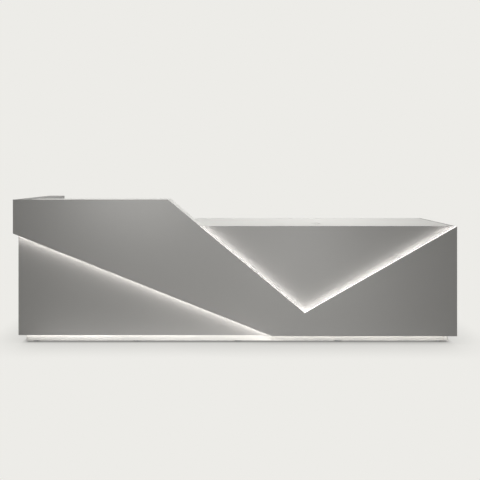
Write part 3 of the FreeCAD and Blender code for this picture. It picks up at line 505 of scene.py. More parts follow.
# %% White tops and plinth
TOP_WHITE = linear(236, 235, 231)
TOP_SPECK = linear(205, 203, 198)
TOP_DUST = linear(214, 210, 202)
SPECK_SCALE = 420.0
SPECK_PEAKS = (0.62, 0.72)
SPECK_SHARE = 0.3
PLINTH_WHITE = linear(226, 225, 222)
SCUFF_TONE = linear(150, 146, 140)
SCUFF_HEIGHTS = (0.045, 0.012)
SCUFF_STRETCH = (6.0, 6.0, 60.0)
SCUFF_SHARE = 0.04


def white_top():
    """Satin white laminate with faint specks."""
    tree, shader = finish("white_top", 0.38)
    specks = ramp(tree, noise(tree, place_of(tree), SPECK_SCALE, 2.0), *SPECK_PEAKS)
    tone = toned(tree, TOP_WHITE, use(tree, "tone_drift", Size=0.5, Amount=0.012))
    speckled = mixed(tree, maths(tree, "MULTIPLY", specks, SPECK_SHARE), tone, TOP_SPECK)
    coloured(tree, shader, mixed(tree, use(tree, "dust", Amount=0.05), speckled, TOP_DUST))
    grained(tree, shader, use(tree, "tone_drift", Size=0.05, Amount=0.5), 0.30, 0.46)
    bump(tree, shader, use(tree, "stipple", Size=0.0008), 0.00001)


def plinth_white():
    """White board with faint scuffs near the floor."""
    tree, shader = finish("plinth_white", 0.42)
    height = add(tree, "ShaderNodeSeparateXYZ", {0: place_of(tree)}).outputs[2]
    low = ramp(tree, height, *SCUFF_HEIGHTS)
    streaks = ramp(tree, noise(tree, place_of(tree, SCUFF_STRETCH), 1.0, 5.0, 0.7), 0.5, 0.8)
    scuffs = maths(tree, "MULTIPLY", maths(tree, "MULTIPLY", low, streaks), SCUFF_SHARE)
    tone = toned(tree, PLINTH_WHITE, use(tree, "tone_drift", Size=0.3, Amount=0.012))
    coloured(tree, shader, mixed(tree, scuffs, tone, SCUFF_TONE))
    bump(tree, shader, use(tree, "stipple", Size=0.0012), 0.00002)


white_top()
plinth_white()
print("finishes so far", list(FINISHES))

# %% [markdown]
# ## Plywood
#
# The hidden ribs and battens are plywood. Its face has a long grain, and its thin layers show on every cut
# edge. Noise pulled out along the piece makes the grain, and a value that goes up and down once per layer
# makes the layers, so both go through the piece as they do in the real sheet.

# %% Plywood
PLY_LIGHT = linear(214, 187, 148)
PLY_DARK = linear(168, 130, 88)
PLY_THICKNESS = 0.0015
PLY_LEAN = 0.3
LAYER_SHADE = 0.18
GRAIN_STRETCH = (3.0, 60.0, 60.0)


def plywood():
    """Raw plywood with a long grain and visible layers."""
    tree, shader = finish("plywood", 0.65)
    grain = noise(tree, place_of(tree, GRAIN_STRETCH), 1.0, 6.0, 0.62)
    figure = mixed(tree, ramp(tree, grain, 0.3, 0.75), PLY_LIGHT, PLY_DARK)
    across = add(tree, "ShaderNodeSeparateXYZ", {0: place_of(tree)}).outputs
    depth = maths(tree, "ADD", across[1], maths(tree, "MULTIPLY", across[0], PLY_LEAN))
    layer = maths(tree, "PINGPONG", depth, PLY_THICKNESS)
    plies = ramp(tree, layer, 0.2 * PLY_THICKNESS, 0.5 * PLY_THICKNESS)
    shade = maths(tree, "ADD", 1.0 - LAYER_SHADE, maths(tree, "MULTIPLY", plies, LAYER_SHADE))
    # edges are painted in the light wood tone: the cut edge, and a painted highlight
    cut_edge_and_highlight = use(tree, "edge_wear_and_highlight", Width=0.002, Wear=0.6)
    coloured(tree, shader, mixed(tree, cut_edge_and_highlight, toned(tree, figure, shade), PLY_LIGHT))
    bump(tree, shader, grain, 0.0002)


plywood()
print("finishes so far", len(FINISHES))

# %% [markdown]
# ## Bare metals
#
# Handles are brushed along their length and light channels are satin anodised, so both get belt lines.
# Slides, hinges and screws are bright zinc, which sets in small crystals: a Voronoi pattern gives each its
# own shade. The lock is chrome, where only the smears of fingers change its tone and gloss.

# %% Bare metals
HANDLE_LINES = (40.0, 2600.0, 2600.0)
CHANNEL_LINES = (30.0, 1500.0, 1500.0)
ZINC = linear(196, 198, 202)
ZINC_DUST = linear(176, 172, 164)
CRYSTAL_SCALE = 160.0
CHROME = linear(222, 223, 226)


def brushed_metal(name, tone, lines, low, high):
    """Metal with belt lines along the direction with the smallest stretch."""
    tree, shader = finish(name, 0.3, metallic=1.0)
    line = use(tree, "brushed", Stretch=lines)
    shade = maths(tree, "ADD", 0.9, maths(tree, "MULTIPLY", line, 0.2))
    # edges are painted brighter: rubbing, and a painted highlight
    edge = use(tree, "edge_wear_and_highlight", Width=0.0005, Wear=0.4)
    bright = [min(1.0, 1.15 * value) for value in tone[:3]]
    coloured(tree, shader, mixed(tree, edge, toned(tree, tone, shade), (*bright, 1.0)))
    grained(tree, shader, line, low, high)
    bump(tree, shader, line, 0.000015)


def bright_steel():
    """Zinc with small crystals and a little dust."""
    tree, shader = finish("bright_steel", 0.32, metallic=1.0)
    inputs = {"Vector": place_of(tree), "Scale": CRYSTAL_SCALE}
    crystals = add(tree, "ShaderNodeTexVoronoi", inputs).outputs["Color"]
    spangle = add(tree, "ShaderNodeSeparateColor", {0: crystals}).outputs[0]
    tone = toned(tree, ZINC, maths(tree, "ADD", 0.92, maths(tree, "MULTIPLY", spangle, 0.12)))
    coloured(tree, shader, mixed(tree, use(tree, "dust", Amount=0.15), tone, ZINC_DUST))
    grained(tree, shader, spangle, 0.24, 0.4)
    bump(tree, shader, use(tree, "stipple", Size=0.002), 0.00003)


def lock_chrome():
    """Chrome with smears of fingers."""
    tree, shader = finish("lock_chrome", 0.12, metallic=1.0)
    smear = use(tree, "tone_drift", Size=0.004, Amount=0.06)
    coloured(tree, shader, toned(tree, CHROME, smear))
    grained(tree, shader, smear, 0.06, 0.2)


brushed_metal("handle_steel", linear(188, 188, 187), HANDLE_LINES, 0.22, 0.38)
brushed_metal("channel_aluminium", linear(205, 206, 208), CHANNEL_LINES, 0.3, 0.45)
bright_steel()
lock_chrome()
print("finishes so far", len(FINISHES))

# %% [markdown]
# ## Plastics
#
# The switch box and the drivers' caps are dark moulded plastic with a fine spark texture, and the grommets
# are white, so that they don't show on the worktop. The rocker is glossier because fingers polish it. The
# leads, the bumpers and the catch's case are a pale softer plastic. All come from one recipe, because their
# moulds are made in one way.

# %% Plastics
PLASTIC_DUST = linear(150, 147, 140)


def moulded(name, tone, low, high, pit):
    """Plastic with a spark-eroded texture."""
    tree, shader = finish(name, 0.5)
    pits = use(tree, "stipple", Size=pit)
    shade = toned(tree, tone, use(tree, "tone_drift", Size=0.03, Amount=0.05))
    # edges are painted lighter: rubbing, and a painted highlight
    edge = use(tree, "edge_wear_and_highlight", Width=0.0006, Wear=0.35)
    light = [min(1.0, 1.6 * value + 0.01) for value in tone[:3]]
    rubbed_and_highlit = mixed(tree, edge, shade, (*light, 1.0))
    coloured(tree, shader, mixed(tree, use(tree, "dust", Amount=0.06), rubbed_and_highlit, PLASTIC_DUST))
    grained(tree, shader, pits, low, high)
    bump(tree, shader, pits, 0.00004)


moulded("dark_plastic", linear(52, 53, 55), 0.42, 0.6, pit=0.0009)
moulded("white_plastic", linear(229, 228, 224), 0.4, 0.55, pit=0.0009)
moulded("rocker_plastic", linear(36, 36, 38), 0.22, 0.36, pit=0.0006)
moulded("lead_sheath", linear(224, 223, 219), 0.45, 0.6, pit=0.0014)
print("finishes so far", len(FINISHES))

# %% [markdown]
# ## Light tapes and opal covers
#
# A light tape is a white ribbon with a row of diodes, and an opal cover spreads their light to an even line.
# A real cover is lit from behind, which needs many rays. Here its own surface glows, a little more over each
# diode than between two of them. Every lit edge has its own strength, as the photograph shows.

# %% Light tapes and opal covers
LED_WHITE = (1.0, 0.967, 0.948, 1.0)
LED_PITCH = 0.0083
DIODE_YELLOW = linear(232, 214, 150)
TAPE_WHITE = linear(240, 240, 238)
OPAL = linear(240, 239, 235)
COVER_GLOW = {"valley_diffusers": 1.8, "lower_diffusers": 4.2, "plinth_diffuser": 0.5}


def along_tape(tree, period):
    """A value that goes up and down along the tape."""
    along = add(tree, "ShaderNodeSeparateXYZ", {0: place_of(tree)}).outputs[0]
    return maths(tree, "PINGPONG", along, period)


def cover_finish(node):
    """The name of a cover's own finish."""
    return "opal_cover_" + node.split("_")[0]


def opal_cover(name, strength):
    """A cover that glows a little more over each diode."""
    tree, shader = finish(name, 0.35)
    shader.inputs["Emission Strength"].default_value = strength
    half = 0.5 * LED_PITCH
    inputs = {"Value": along_tape(tree, half), "From Max": half, "To Min": 1.0, "To Max": 0.9}
    glow = add(tree, "ShaderNodeMapRange", inputs).outputs[0]
    tree.links.new(toned(tree, LED_WHITE, glow), shader.inputs["Emission Color"])
    coloured(tree, shader, toned(tree, OPAL, use(tree, "tone_drift", Size=0.05, Amount=0.02)))


def tape_white():
    """A white ribbon with a row of yellowish diodes."""
    tree, shader = finish("tape_white", 0.4)
    pads = ramp(tree, along_tape(tree, LED_PITCH), 0.3 * LED_PITCH, 0.34 * LED_PITCH)
    coloured(tree, shader, mixed(tree, pads, DIODE_YELLOW, TAPE_WHITE))
    bump(tree, shader, pads, 0.0003)


tape_white()
for node, strength in COVER_GLOW.items():
    opal_cover(cover_finish(node), strength)
print("finishes", len(FINISHES), "with a diode every", 1000.0 * LED_PITCH, "mm")

# %% [markdown]
# ## Dressing the solids
#
# The record says which finish belongs to which node. Solids have knife-sharp edges, and no real board has
# them, so each node gets a few modifiers. Weld joins the corners that the file format split, and Bevel rounds
# the edges by about half a millimetre, less on thin metal. A flat board with a bore arrives as many long
# slivers, which a bevel can fold over into fine dark lines, so Decimate first joins the slivers of each flat
# face. Turned and bent metal keeps its own small faces. Boards and channels that meet corner to corner in one
# node would be welded into one, so they keep their plain edges.

# %% Dressing the solids
EDGE_ROUND = {"grey_laminate": 0.0006, "white_top": 0.0012, "cabinet_board": 0.0006, "plinth_white": 0.0006,
              "plywood": 0.0004, "powder_coat": 0.0004, "bright_steel": 0.0002, "handle_steel": 0.0004,
              "lock_chrome": 0.0003, "dark_plastic": 0.0004, "white_plastic": 0.0004,
              "rocker_plastic": 0.0005, "channel_aluminium": 0.0002}
FLAT_STOCK = {"grey_laminate", "white_top", "cabinet_board", "plinth_white", "plywood", "powder_coat",
              "white_plastic", "channel_aluminium"}
PLAIN_EDGED = {"bottom_boards", "led_channels"}
SAME_CORNER = 0.000002
SAME_PLANE = math.radians(0.2)
SHARP_FROM = math.radians(35.0)
ROUND_STEPS = 2

slot_of_node = {entry["node"]: entry["material_slot"] for entry in record["subparts"]}


def soften(solid, width, flat_stock):
    """Joins split corners and flat faces, rounds sharp edges and evens out the shading."""
    weld = solid.modifiers.new("weld", "WELD")
    weld.merge_threshold = SAME_CORNER
    if flat_stock:
        flat = solid.modifiers.new("flat", "DECIMATE")
        flat.decimate_type = "DISSOLVE"
        flat.angle_limit = SAME_PLANE
    edge = solid.modifiers.new("edge", "BEVEL")
    edge.width = width
    edge.segments = ROUND_STEPS
    edge.limit_method = "ANGLE"
    edge.angle_limit = SHARP_FROM
    shading = solid.modifiers.new("shading", "WEIGHTED_NORMAL")
    shading.keep_sharp = False


softened = 0
for name, node in nodes.items():
    slot = slot_of_node[name]
    node.data.materials.append(FINISHES[cover_finish(name) if name in COVER_GLOW else slot])
    if slot in EDGE_ROUND and name not in PLAIN_EDGED:
        soften(node, EDGE_ROUND[slot], slot in FLAT_STOCK)
        softened += 1
print("dressed", len(nodes), "nodes, of which", softened, "have rounded edges")

# %% [markdown]
# ## Finding each solid
#
# Where a node holds several solids, such as eight brackets, each screw has to stand on the very solid that
# it holds. Its place could be copied from a drawing, but would be wrong as soon as the drawing changes. So
# the node's mesh is split into islands of joined corners, and every island gives its own box.

# %% Finding each solid
def solid_boxes(node):
    """Lowest and highest corner of each separate solid in a node, from left to right."""
    mesh = bmesh.new()
    mesh.from_mesh(nodes[node].data)
    bmesh.ops.remove_doubles(mesh, verts=mesh.verts, dist=SAME_CORNER)
    waiting = set(mesh.verts)
    boxes = []
    while waiting:
        reached = [waiting.pop()]
        for vertex in reached:
            beside = {edge.other_vert(vertex) for edge in vertex.link_edges} & waiting
            waiting -= beside
            reached.extend(beside)
        axes = list(zip(*(vertex.co for vertex in reached)))
        boxes.append((Vector([min(axis) for axis in axes]), Vector([max(axis) for axis in axes])))
    mesh.free()
    return sorted(boxes, key=lambda pair: [round(value, 4) for value in pair[0]])


def row(first, last, inset, count=2):
    """Even places between two ends, the outer ones an inset away from them."""
    start, end = first + inset, last - inset
    return [start + (end - start) * step / (count - 1) for step in range(count)]


print("brackets found", len(solid_boxes("worktop_brackets")))

# %% [markdown]
# ## Turned parts and screws
#
# Screws, caps, collars and nuts are round about an axis. Blender's Screw modifier could turn them one by one,
# but here many of them share a mesh, so a small lathe lays rings of corners along any axis and joins them
# with faces. A screw head gets its cross as a real recess, because that is what shows that it is a screw.

# %% Turned parts and screws
MM = 0.001
CROSS_ARM = [(0.5, -0.13), (0.5, 0.13), (0.13, 0.13)]
CROSS_DEPTH = 0.3


def facing(axis):
    """The turn that takes +Z to an axis."""
    return Vector(axis).to_track_quat("Z", "Y").to_matrix()


def turned(mesh, place, axis, profile, unit=MM, steps=20, hollow=False):
    """Turns a profile of (radius, distance along the axis), and gives its last ring."""
    turn = facing(axis)
    rings = []
    for radius, along in profile:
        angles = [2.0 * math.pi * step / steps for step in range(steps if radius > 0.0 else 1)]
        points = [Vector((radius * math.cos(angle), radius * math.sin(angle), along)) for angle in angles]
        rings.append([mesh.verts.new(Vector(place) + turn @ (unit * point)) for point in points])
    for first, second in zip(rings, rings[1:] + rings[:1] if hollow else rings[1:]):
        for step in range(steps):
            corners = [first[step % len(first)], first[(step + 1) % len(first)],
                       second[(step + 1) % len(second)], second[step % len(second)]]
            mesh.faces.new(list(dict.fromkeys(corners)))
    return rings[-1]


def cross_screw(mesh, place, axis, radius, rise=0.5):
    """A screw head whose flat top has a cross-shaped recess; rise is its height in radii."""
    head = [(0.0, -0.1), (1.0, -0.1), (1.0, 0.4 * rise), (0.85, 0.84 * rise), (0.66, rise)]
    rim = turned(mesh, place, axis, head, unit=radius, steps=16)
    turn = facing(axis)
    outline = []
    for quarter in range(4):
        outline += [Matrix.Rotation(0.5 * math.pi * quarter, 2) @ Vector(point) for point in CROSS_ARM]
    loops = []
    for level in (rise, rise - CROSS_DEPTH):
        points = [Vector((point.x, point.y, level)) * radius for point in outline]
        loops.append([mesh.verts.new(Vector(place) + turn @ point) for point in points])
    top, foot = loops
    border = [mesh.edges.get(pair) for pair in zip(rim, rim[1:] + rim[:1])]
    cross = [mesh.edges.new(pair) for pair in zip(top, top[1:] + top[:1])]
    bmesh.ops.triangle_fill(mesh, use_beauty=True, edges=border + cross)
    for corners in zip(top, top[1:] + top[:1], foot[1:] + foot[:1], foot):
        mesh.faces.new(corners)
    mesh.faces.new(foot)


sample = bmesh.new()
cross_screw(sample, (0, 0, 0), (0, 0, 1), MM)
print("one screw has", len(sample.faces), "faces")
sample.free()

# %% [markdown]
# ## Blocks and finished pieces
#
# Plates, ribs, pins and grips are blocks with rounded edges. A cube that is stretched to its corners and then
# bevelled keeps one rounding on all sides, where a scaled one would not. The last helper makes an object of a
# mesh, gives it a finish and lets it ride on the body that carries it.

# %% Blocks and finished pieces
def block(mesh, low, high, rounding):
    """A block between two corners with rounded edges."""
    low, high = Vector(low), Vector(high)
    verts = bmesh.ops.create_cube(mesh, size=1.0)["verts"]
    for vertex in verts:
        vertex.co = [a + (c + 0.5) * (b - a) for a, b, c in zip(low, high, vertex.co)]
    edges = list(dict.fromkeys(edge for vertex in verts for edge in vertex.link_edges))
    bmesh.ops.bevel(mesh, geom=edges, offset=rounding, segments=ROUND_STEPS, affect="EDGES", profile=0.5)


def piece(name, mesh, slot, body):
    """An object made of a mesh, with a finish, riding on a body."""
    bmesh.ops.recalc_face_normals(mesh, faces=mesh.faces)
    data = bpy.data.meshes.new(name)
    mesh.to_mesh(data)
    mesh.free()
    data.shade_smooth()
    data.set_sharp_from_angle(angle=SHARP_FROM)
    data.materials.append(FINISHES[slot])
    made = bpy.data.objects.new(name, data)
    scene.collection.objects.link(made)
    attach(made, body)
    print(name, "on", body, len(data.polygons), "faces")


sample = bmesh.new()
block(sample, (0, 0, 0), (1, 1, 1), 0.1)
print("one block has", len(sample.faces), "faces")
sample.free()

# %% [markdown]
# ## Screws of the steelwork
#
# Every bracket, the cable tray, the lock's angle, the drivers' ears and the lid of the switch box are held
# by pan-head screws. A screw stands on the sheet that it holds, so its place is that solid's face. They are
# all on the fixed body, so they share one mesh.

# %% Screws of the steelwork
# radii of the heads
SCREW = 3.6 * MM
SMALL_SCREW = 2.8 * MM
LID_SCREW = 2.6 * MM
BRACKET_SHEET = 3.0 * MM
BRACKET_REACH = 26.0 * MM
TRAY_SHEET = 1.5 * MM
STRIKE_SHEET = 2.0 * MM
EAR_SHEET = 3.0 * MM

screws = bmesh.new()
for index, (low, high) in enumerate(solid_boxes("worktop_brackets")):
    # each knee bay has two brackets on its left wall, and then two on its right wall
    side = 1.0 if index // 2 % 2 == 0 else -1.0
    wall = low.x if side > 0.0 else high.x
    for y in row(low.y, high.y, 15 * MM):
        cross_screw(screws, (wall + side * BRACKET_SHEET, y, low.z + 14 * MM), (side, 0, 0), SCREW)
        cross_screw(screws, (wall + side * BRACKET_REACH, y, high.z - BRACKET_SHEET), (0, 0, -1), SCREW)
low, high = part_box("cable_tray")
for x in row(low.x, high.x, 40 * MM, 5):
    cross_screw(screws, (x, low.y + 18 * MM, high.z - TRAY_SHEET), (0, 0, -1), SCREW)
low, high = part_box("lock_strike")
for x in row(low.x, high.x, 7 * MM):
    cross_screw(screws, (x, low.y + 10 * MM, high.z - STRIKE_SHEET), (0, 0, -1), SMALL_SCREW)
for low, high in solid_boxes("led_drivers"):
    for x in row(low.x, high.x, 6 * MM):
        for y in row(low.y, high.y, 12 * MM):
            cross_screw(screws, (x, y, low.z + EAR_SHEET), (0, 0, 1), SMALL_SCREW)
low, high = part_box("power_box")
for x in row(low.x, high.x, 7 * MM):
    for y in row(low.y, high.y, 7 * MM):
        cross_screw(screws, (x, y, low.z), (0, 0, -1), LID_SCREW)
piece("steelwork_screws", screws, "bright_steel", "desk")

# %% [markdown]
# ## Screws of the hinges
#
# A butt hinge has three screws in each leaf, staggered so that the board doesn't split along one line. They
# lie nearly flush, because the two leaves come close when the door stands open. One leaf is on the cabinet
# and one on the door, so the screws are two pieces.

# %% Screws of the hinges
HINGE_SHEET = 2.0 * MM
HINGE_SCREW = 3.2 * MM
HINGE_INSETS = (8.0 * MM, 15.0 * MM, 8.0 * MM)
FLUSH = 0.16

frame_screws = bmesh.new()
for low, high in solid_boxes("hinge_frame_leaves"):
    for z, inset in zip(row(low.z, high.z, 12 * MM, 3), HINGE_INSETS):
        place = (high.x - HINGE_SHEET, high.y - inset, z)
        cross_screw(frame_screws, place, (-1, 0, 0), HINGE_SCREW, FLUSH)
piece("hinge_frame_screws", frame_screws, "bright_steel", "desk")

door_screws = bmesh.new()
for low, high in solid_boxes("hinge_door_leaves"):
    for z, inset in zip(row(low.z, high.z, 12 * MM, 3), HINGE_INSETS):
        place = (low.x + inset, low.y + HINGE_SHEET, z)
        cross_screw(door_screws, place, (0, 1, 0), HINGE_SCREW, FLUSH)
piece("hinge_door_screws", door_screws, "bright_steel", "cupboard_door")

# %% [markdown]
# ## Slides and trays of the drawers
#
# The fixed member of a slide is screwed to the cabinet, the moving one to the tray, and the tray to its
# front from inside. Three rounded beads stiffen each tray's floor. Soft bumpers keep a front from knocking on
# the cabinet's edge. All but the fixed members' screws move with a drawer, so a loop makes them for each.

# %% Slides and trays of the drawers
DRAWERS = ("top", "middle", "bottom")
SLIDE_SHEET = 1.5 * MM
SLIDE_SCREW = 3.2 * MM
SLIDE_RISE = 0.35
BEAD_HALF = 5.0 * MM
BEAD_SINK = 0.5 * MM
BEAD_HEIGHT = 1.4 * MM
BUMPER_DOME = [(0.0, -0.1), (4.0, -0.1), (3.6, 0.4), (2.2, 0.7), (0.0, 0.8)]
BUMPER_INSET = 7.5 * MM

rail_screws = bmesh.new()
for index, (low, high) in enumerate(solid_boxes("drawer_rails")):
    side = 1.0 if index < len(DRAWERS) else -1.0
    x = low.x + SLIDE_SHEET if side > 0.0 else high.x - SLIDE_SHEET
    for y in row(low.y, high.y, 37 * MM, 4):
        cross_screw(rail_screws, (x, y, (low.z + high.z) / 2), (side, 0, 0), SLIDE_SCREW, SLIDE_RISE)
piece("drawer_rail_screws", rail_screws, "bright_steel", "desk")

for name in DRAWERS:
    body = "drawer_" + name
    fixings = bmesh.new()
    left_runner, right_runner = solid_boxes("drawer_runners_" + name)
    z = (left_runner[0].z + left_runner[1].z) / 2
    for y in row(left_runner[0].y, left_runner[1].y, 50 * MM, 3):
        for x, side in ((left_runner[1].x - SLIDE_SHEET, -1), (right_runner[0].x + SLIDE_SHEET, 1)):
            cross_screw(fixings, (x, y, z), (side, 0, 0), SLIDE_SCREW, SLIDE_RISE)
    low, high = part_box("drawer_tray_" + name)
    for x in row(low.x, high.x, 45 * MM):
        for z in row(low.z, high.z, 22 * MM):
            cross_screw(fixings, (x, high.y - TRAY_SHEET, z), (0, -1, 0), SCREW)
    piece("drawer_screws_" + name, fixings, "bright_steel", body)

    beads = bmesh.new()
    tray_floor = low.z + TRAY_SHEET
    for x in row(low.x, high.x, 90 * MM, 3):
        block(beads, (x - BEAD_HALF, low.y + 35 * MM, tray_floor - BEAD_SINK),
              (x + BEAD_HALF, high.y - 35 * MM, tray_floor + BEAD_HEIGHT), 0.9 * MM)
    piece("tray_beads_" + name, beads, "powder_coat", body)

    bumpers = bmesh.new()
    low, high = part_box("drawer_front_" + name)
    for x in row(low.x, high.x, BUMPER_INSET):
        for z in row(low.z, high.z, 20 * MM):
            turned(bumpers, (x, low.y, z), (0, -1, 0), BUMPER_DOME)
    piece("drawer_bumpers_" + name, bumpers, "lead_sheath", body)

# %% [markdown]
# ## Collars of the handles and of the lock
#
# Each handle post stands in a small turned collar. The lock has a chromed ring on the drawer front, and a
# raised ring on its own face that turns with the key. A hollow profile is closed on itself, so that a collar
# has a bore and the post goes through it.

# %% Collars of the handles and of the lock
POST_INSET = 15.0 * MM
POST_COLLAR = [(4.05, -0.1), (7.0, -0.1), (7.0, 1.2), (6.2, 2.2), (4.05, 2.4)]
LOCK_FLANGE = 11.0 * MM
LOCK_COLLAR = [(11.2, -0.1), (14.0, -0.1), (14.0, 0.5), (13.0, 1.2), (11.2, 1.4)]
LOCK_RING = [(6.4, -0.1), (7.6, -0.1), (7.3, 0.4), (6.7, 0.4)]
RING_STEPS = 40

for name in DRAWERS:
    collars = bmesh.new()
    low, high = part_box("drawer_handle_" + name)
    for x in row(low.x, high.x, POST_INSET):
        turned(collars, (x, low.y, (low.z + high.z) / 2), (0, 1, 0), POST_COLLAR, hollow=True)
    piece("handle_collars_" + name, collars, "handle_steel", "drawer_" + name)
collars = bmesh.new()
low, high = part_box("door_handle")
for z in row(low.z, high.z, POST_INSET):
    turned(collars, ((low.x + high.x) / 2, low.y, z), (0, 1, 0), POST_COLLAR, hollow=True)
piece("handle_collars_door", collars, "handle_steel", "cupboard_door")

lock_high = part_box("drawer_lock")[1]
front_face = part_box("drawer_front_top")[1].y
for name, y, profile, body in (("lock_collar", front_face, LOCK_COLLAR, "drawer_top"),
                               ("lock_face_ring", lock_high.y, LOCK_RING, "drawer_lock")):
    ring = bmesh.new()
    place = (lock_high.x - LOCK_FLANGE, y, lock_high.z - LOCK_FLANGE)
    turned(ring, place, (0, 1, 0), profile, steps=RING_STEPS, hollow=True)
    piece(name, ring, "lock_chrome", body)

# %% [markdown]
# ## Catch and bumpers of the cupboard
#
# A butt-hinged door needs something that keeps it shut: a magnetic catch under the worktop, and a steel plate
# on the door that it holds. The two nearly touch when the door is closed. The case and its magnets stay with
# the desk, and the plate swings with the door.

# %% Catch and bumpers of the cupboard
CATCH_LENGTH = 46.0 * MM
CATCH_DEPTH = 13.0 * MM
CATCH_SCREW = 2.4 * MM
CATCH_INSET = 5.0 * MM
KEEPER_PROUD = 1.6 * MM
KEEPER_SCREW = 2.2 * MM
KEEPER_RISE = 0.12

door_low, door_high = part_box("cupboard_door")
door_face = door_low.y
under_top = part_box("worktop")[0].z
catch_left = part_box("cupboard_side")[1].x + 30 * MM
catch_right = catch_left + CATCH_LENGTH

catch = bmesh.new()
block(catch, (catch_left, door_face - 26 * MM, under_top - CATCH_DEPTH),
      (catch_right, door_face - 3 * MM, under_top), 1.2 * MM)
piece("catch_case", catch, "lead_sheath", "desk")

magnets = bmesh.new()
for z in (under_top - 10 * MM, under_top - 4.5 * MM):
    block(magnets, (catch_left + 8 * MM, door_face - 4 * MM, z - 1.2 * MM),
          (catch_right - 8 * MM, door_face - 2.4 * MM, z + 1.2 * MM), 0.3 * MM)
for x in row(catch_left, catch_right, CATCH_INSET):
    cross_screw(magnets, (x, door_face - 15 * MM, under_top - CATCH_DEPTH), (0, 0, -1), CATCH_SCREW)
piece("catch_magnets", magnets, "bright_steel", "desk")

keeper = bmesh.new()
block(keeper, (catch_left + CATCH_INSET, door_face - KEEPER_PROUD, under_top - 14 * MM),
      (catch_right - CATCH_INSET, door_face + 0.1 * MM, door_high.z - 1 * MM), 0.4 * MM)
place = ((catch_left + catch_right) / 2, door_face - KEEPER_PROUD, under_top - 9.5 * MM)
cross_screw(keeper, place, (0, -1, 0), KEEPER_SCREW, KEEPER_RISE)
piece("catch_keeper", keeper, "bright_steel", "cupboard_door")

bumpers = bmesh.new()
for z in row(door_low.z, door_high.z, 20 * MM, 3):
    turned(bumpers, (door_low.x + BUMPER_INSET, door_face, z), (0, -1, 0), BUMPER_DOME)
piece("door_bumpers", bumpers, "lead_sheath", "cupboard_door")

# %% [markdown]
# ## Cover caps and lock nuts
#
# The linings are screwed to the ribs behind them, and plastic caps cover the screws. Where the caps go is
# read from the ribs themselves. A rib of the front wall gets them on the panel below the worktop, and a rib
# of the return wall on its lining. One behind the drawers or above the worktop gets none. Under the desk, a
# hexagon nut locks each levelling foot. It comes from the same lathe, with six steps.

# %% Cover caps and lock nuts
COVER_CAP = [(0.0, -0.1), (6.5, -0.1), (6.5, 0.6), (5.6, 1.3), (3.0, 1.6), (0.0, 1.7)]
CAP_HEIGHTS = (0.16, 0.43, 0.70)
LOCK_NUT = [(5.9, 0.0), (9.0, 0.0), (9.6, 0.5), (9.6, 4.5), (9.0, 5.0), (5.9, 5.0)]
NUT_HEIGHT = 5.0 * MM

caps = bmesh.new()
wall_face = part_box("modesty_panel")[1].y
return_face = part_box("return_lining")[1].x
cabinet_low, cabinet_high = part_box("pedestal_sides")
for low, high in solid_boxes("wall_ribs"):
    middle = (low + high) / 2
    in_front_wall = high.y < wall_face
    over_worktop = high.z > under_top + MM
    behind_drawers = cabinet_low.x < middle.x < cabinet_high.x
    for z in CAP_HEIGHTS:
        if in_front_wall and not over_worktop and not behind_drawers:
            turned(caps, (middle.x, wall_face, z), (0, 1, 0), COVER_CAP)
        elif low.y >= wall_face - MM:
            turned(caps, (return_face, middle.y, z), (1, 0, 0), COVER_CAP)
piece("cover_caps", caps, "grey_laminate", "desk")

nuts = bmesh.new()
nut_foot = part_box("levelling_blocks")[0].z - NUT_HEIGHT
for low, high in solid_boxes("levelling_feet"):
    middle = (low + high) / 2
    turned(nuts, (middle.x, middle.y, nut_foot), (0, 0, 1), LOCK_NUT, steps=6, hollow=True)
piece("foot_lock_nuts", nuts, "bright_steel", "desk")

# %% [markdown]
# ## Drivers of the lights
#
# The two drivers have ribbed lids, which shed their heat, dark end caps, and a tapered gland round each lead.
# Which ends have a lead is found from the leads' own corners that lie in the plane of a case's end, so that a
# gland always sits on its lead.

# %% Drivers of the lights
EAR = 12.0 * MM
LID_RIBS = 12
RIB_HALF = 2.0 * MM
CAP_PROUD = 0.8 * MM
CAP_END = 1.5 * MM
GLAND = [(3.05, -0.5), (7.0, -0.5), (7.0, 3.0), (5.0, 5.0), (4.2, 14.0), (3.05, 14.5)]

lids, caps = bmesh.new(), bmesh.new()
case_ends = []
for low, high in solid_boxes("led_drivers"):
    for x in row(low.x + EAR, high.x - EAR, 22 * MM, LID_RIBS):
        block(lids, (x - RIB_HALF, low.y + 5 * MM, high.z - 0.3 * MM),
              (x + RIB_HALF, high.y - 5 * MM, high.z + 1.1 * MM), 0.5 * MM)
    for x, side in ((low.x + EAR, -1.0), (high.x - EAR, 1.0)):
        first, last = sorted((x - side * 9 * MM, x + side * CAP_END))
        block(caps, (first, low.y - CAP_PROUD, low.z + EAR_SHEET),
              (last, high.y + CAP_PROUD, high.z + CAP_PROUD), 0.7 * MM)
        case_ends.append((x, side))
lead_points = [vertex.co for vertex in nodes["led_leads"].data.vertices]
for x, side in case_ends:
    near = [point for point in lead_points if abs(point.x - x) < 0.05 * MM and point.y > wall_face]
    if near:
        middle = sum(near, Vector()) / len(near)
        turned(caps, (x + side * CAP_END, middle.y, middle.z), (side, 0, 0), GLAND, hollow=True)
piece("driver_lid_ribs", lids, "channel_aluminium", "desk")
piece("driver_end_caps", caps, "dark_plastic", "desk")

# %% [markdown]
# ## Switch and inlet
#
# The rocker sits in a raised frame and carries the usual line and circle, and three flat pins stand in the
# mains inlet. The marks could be painted in a material, but real ones are moulded, so they are thin raised
# shapes. They are made flat and then laid on the two slanted halves of the rocker's face, round its pivot.

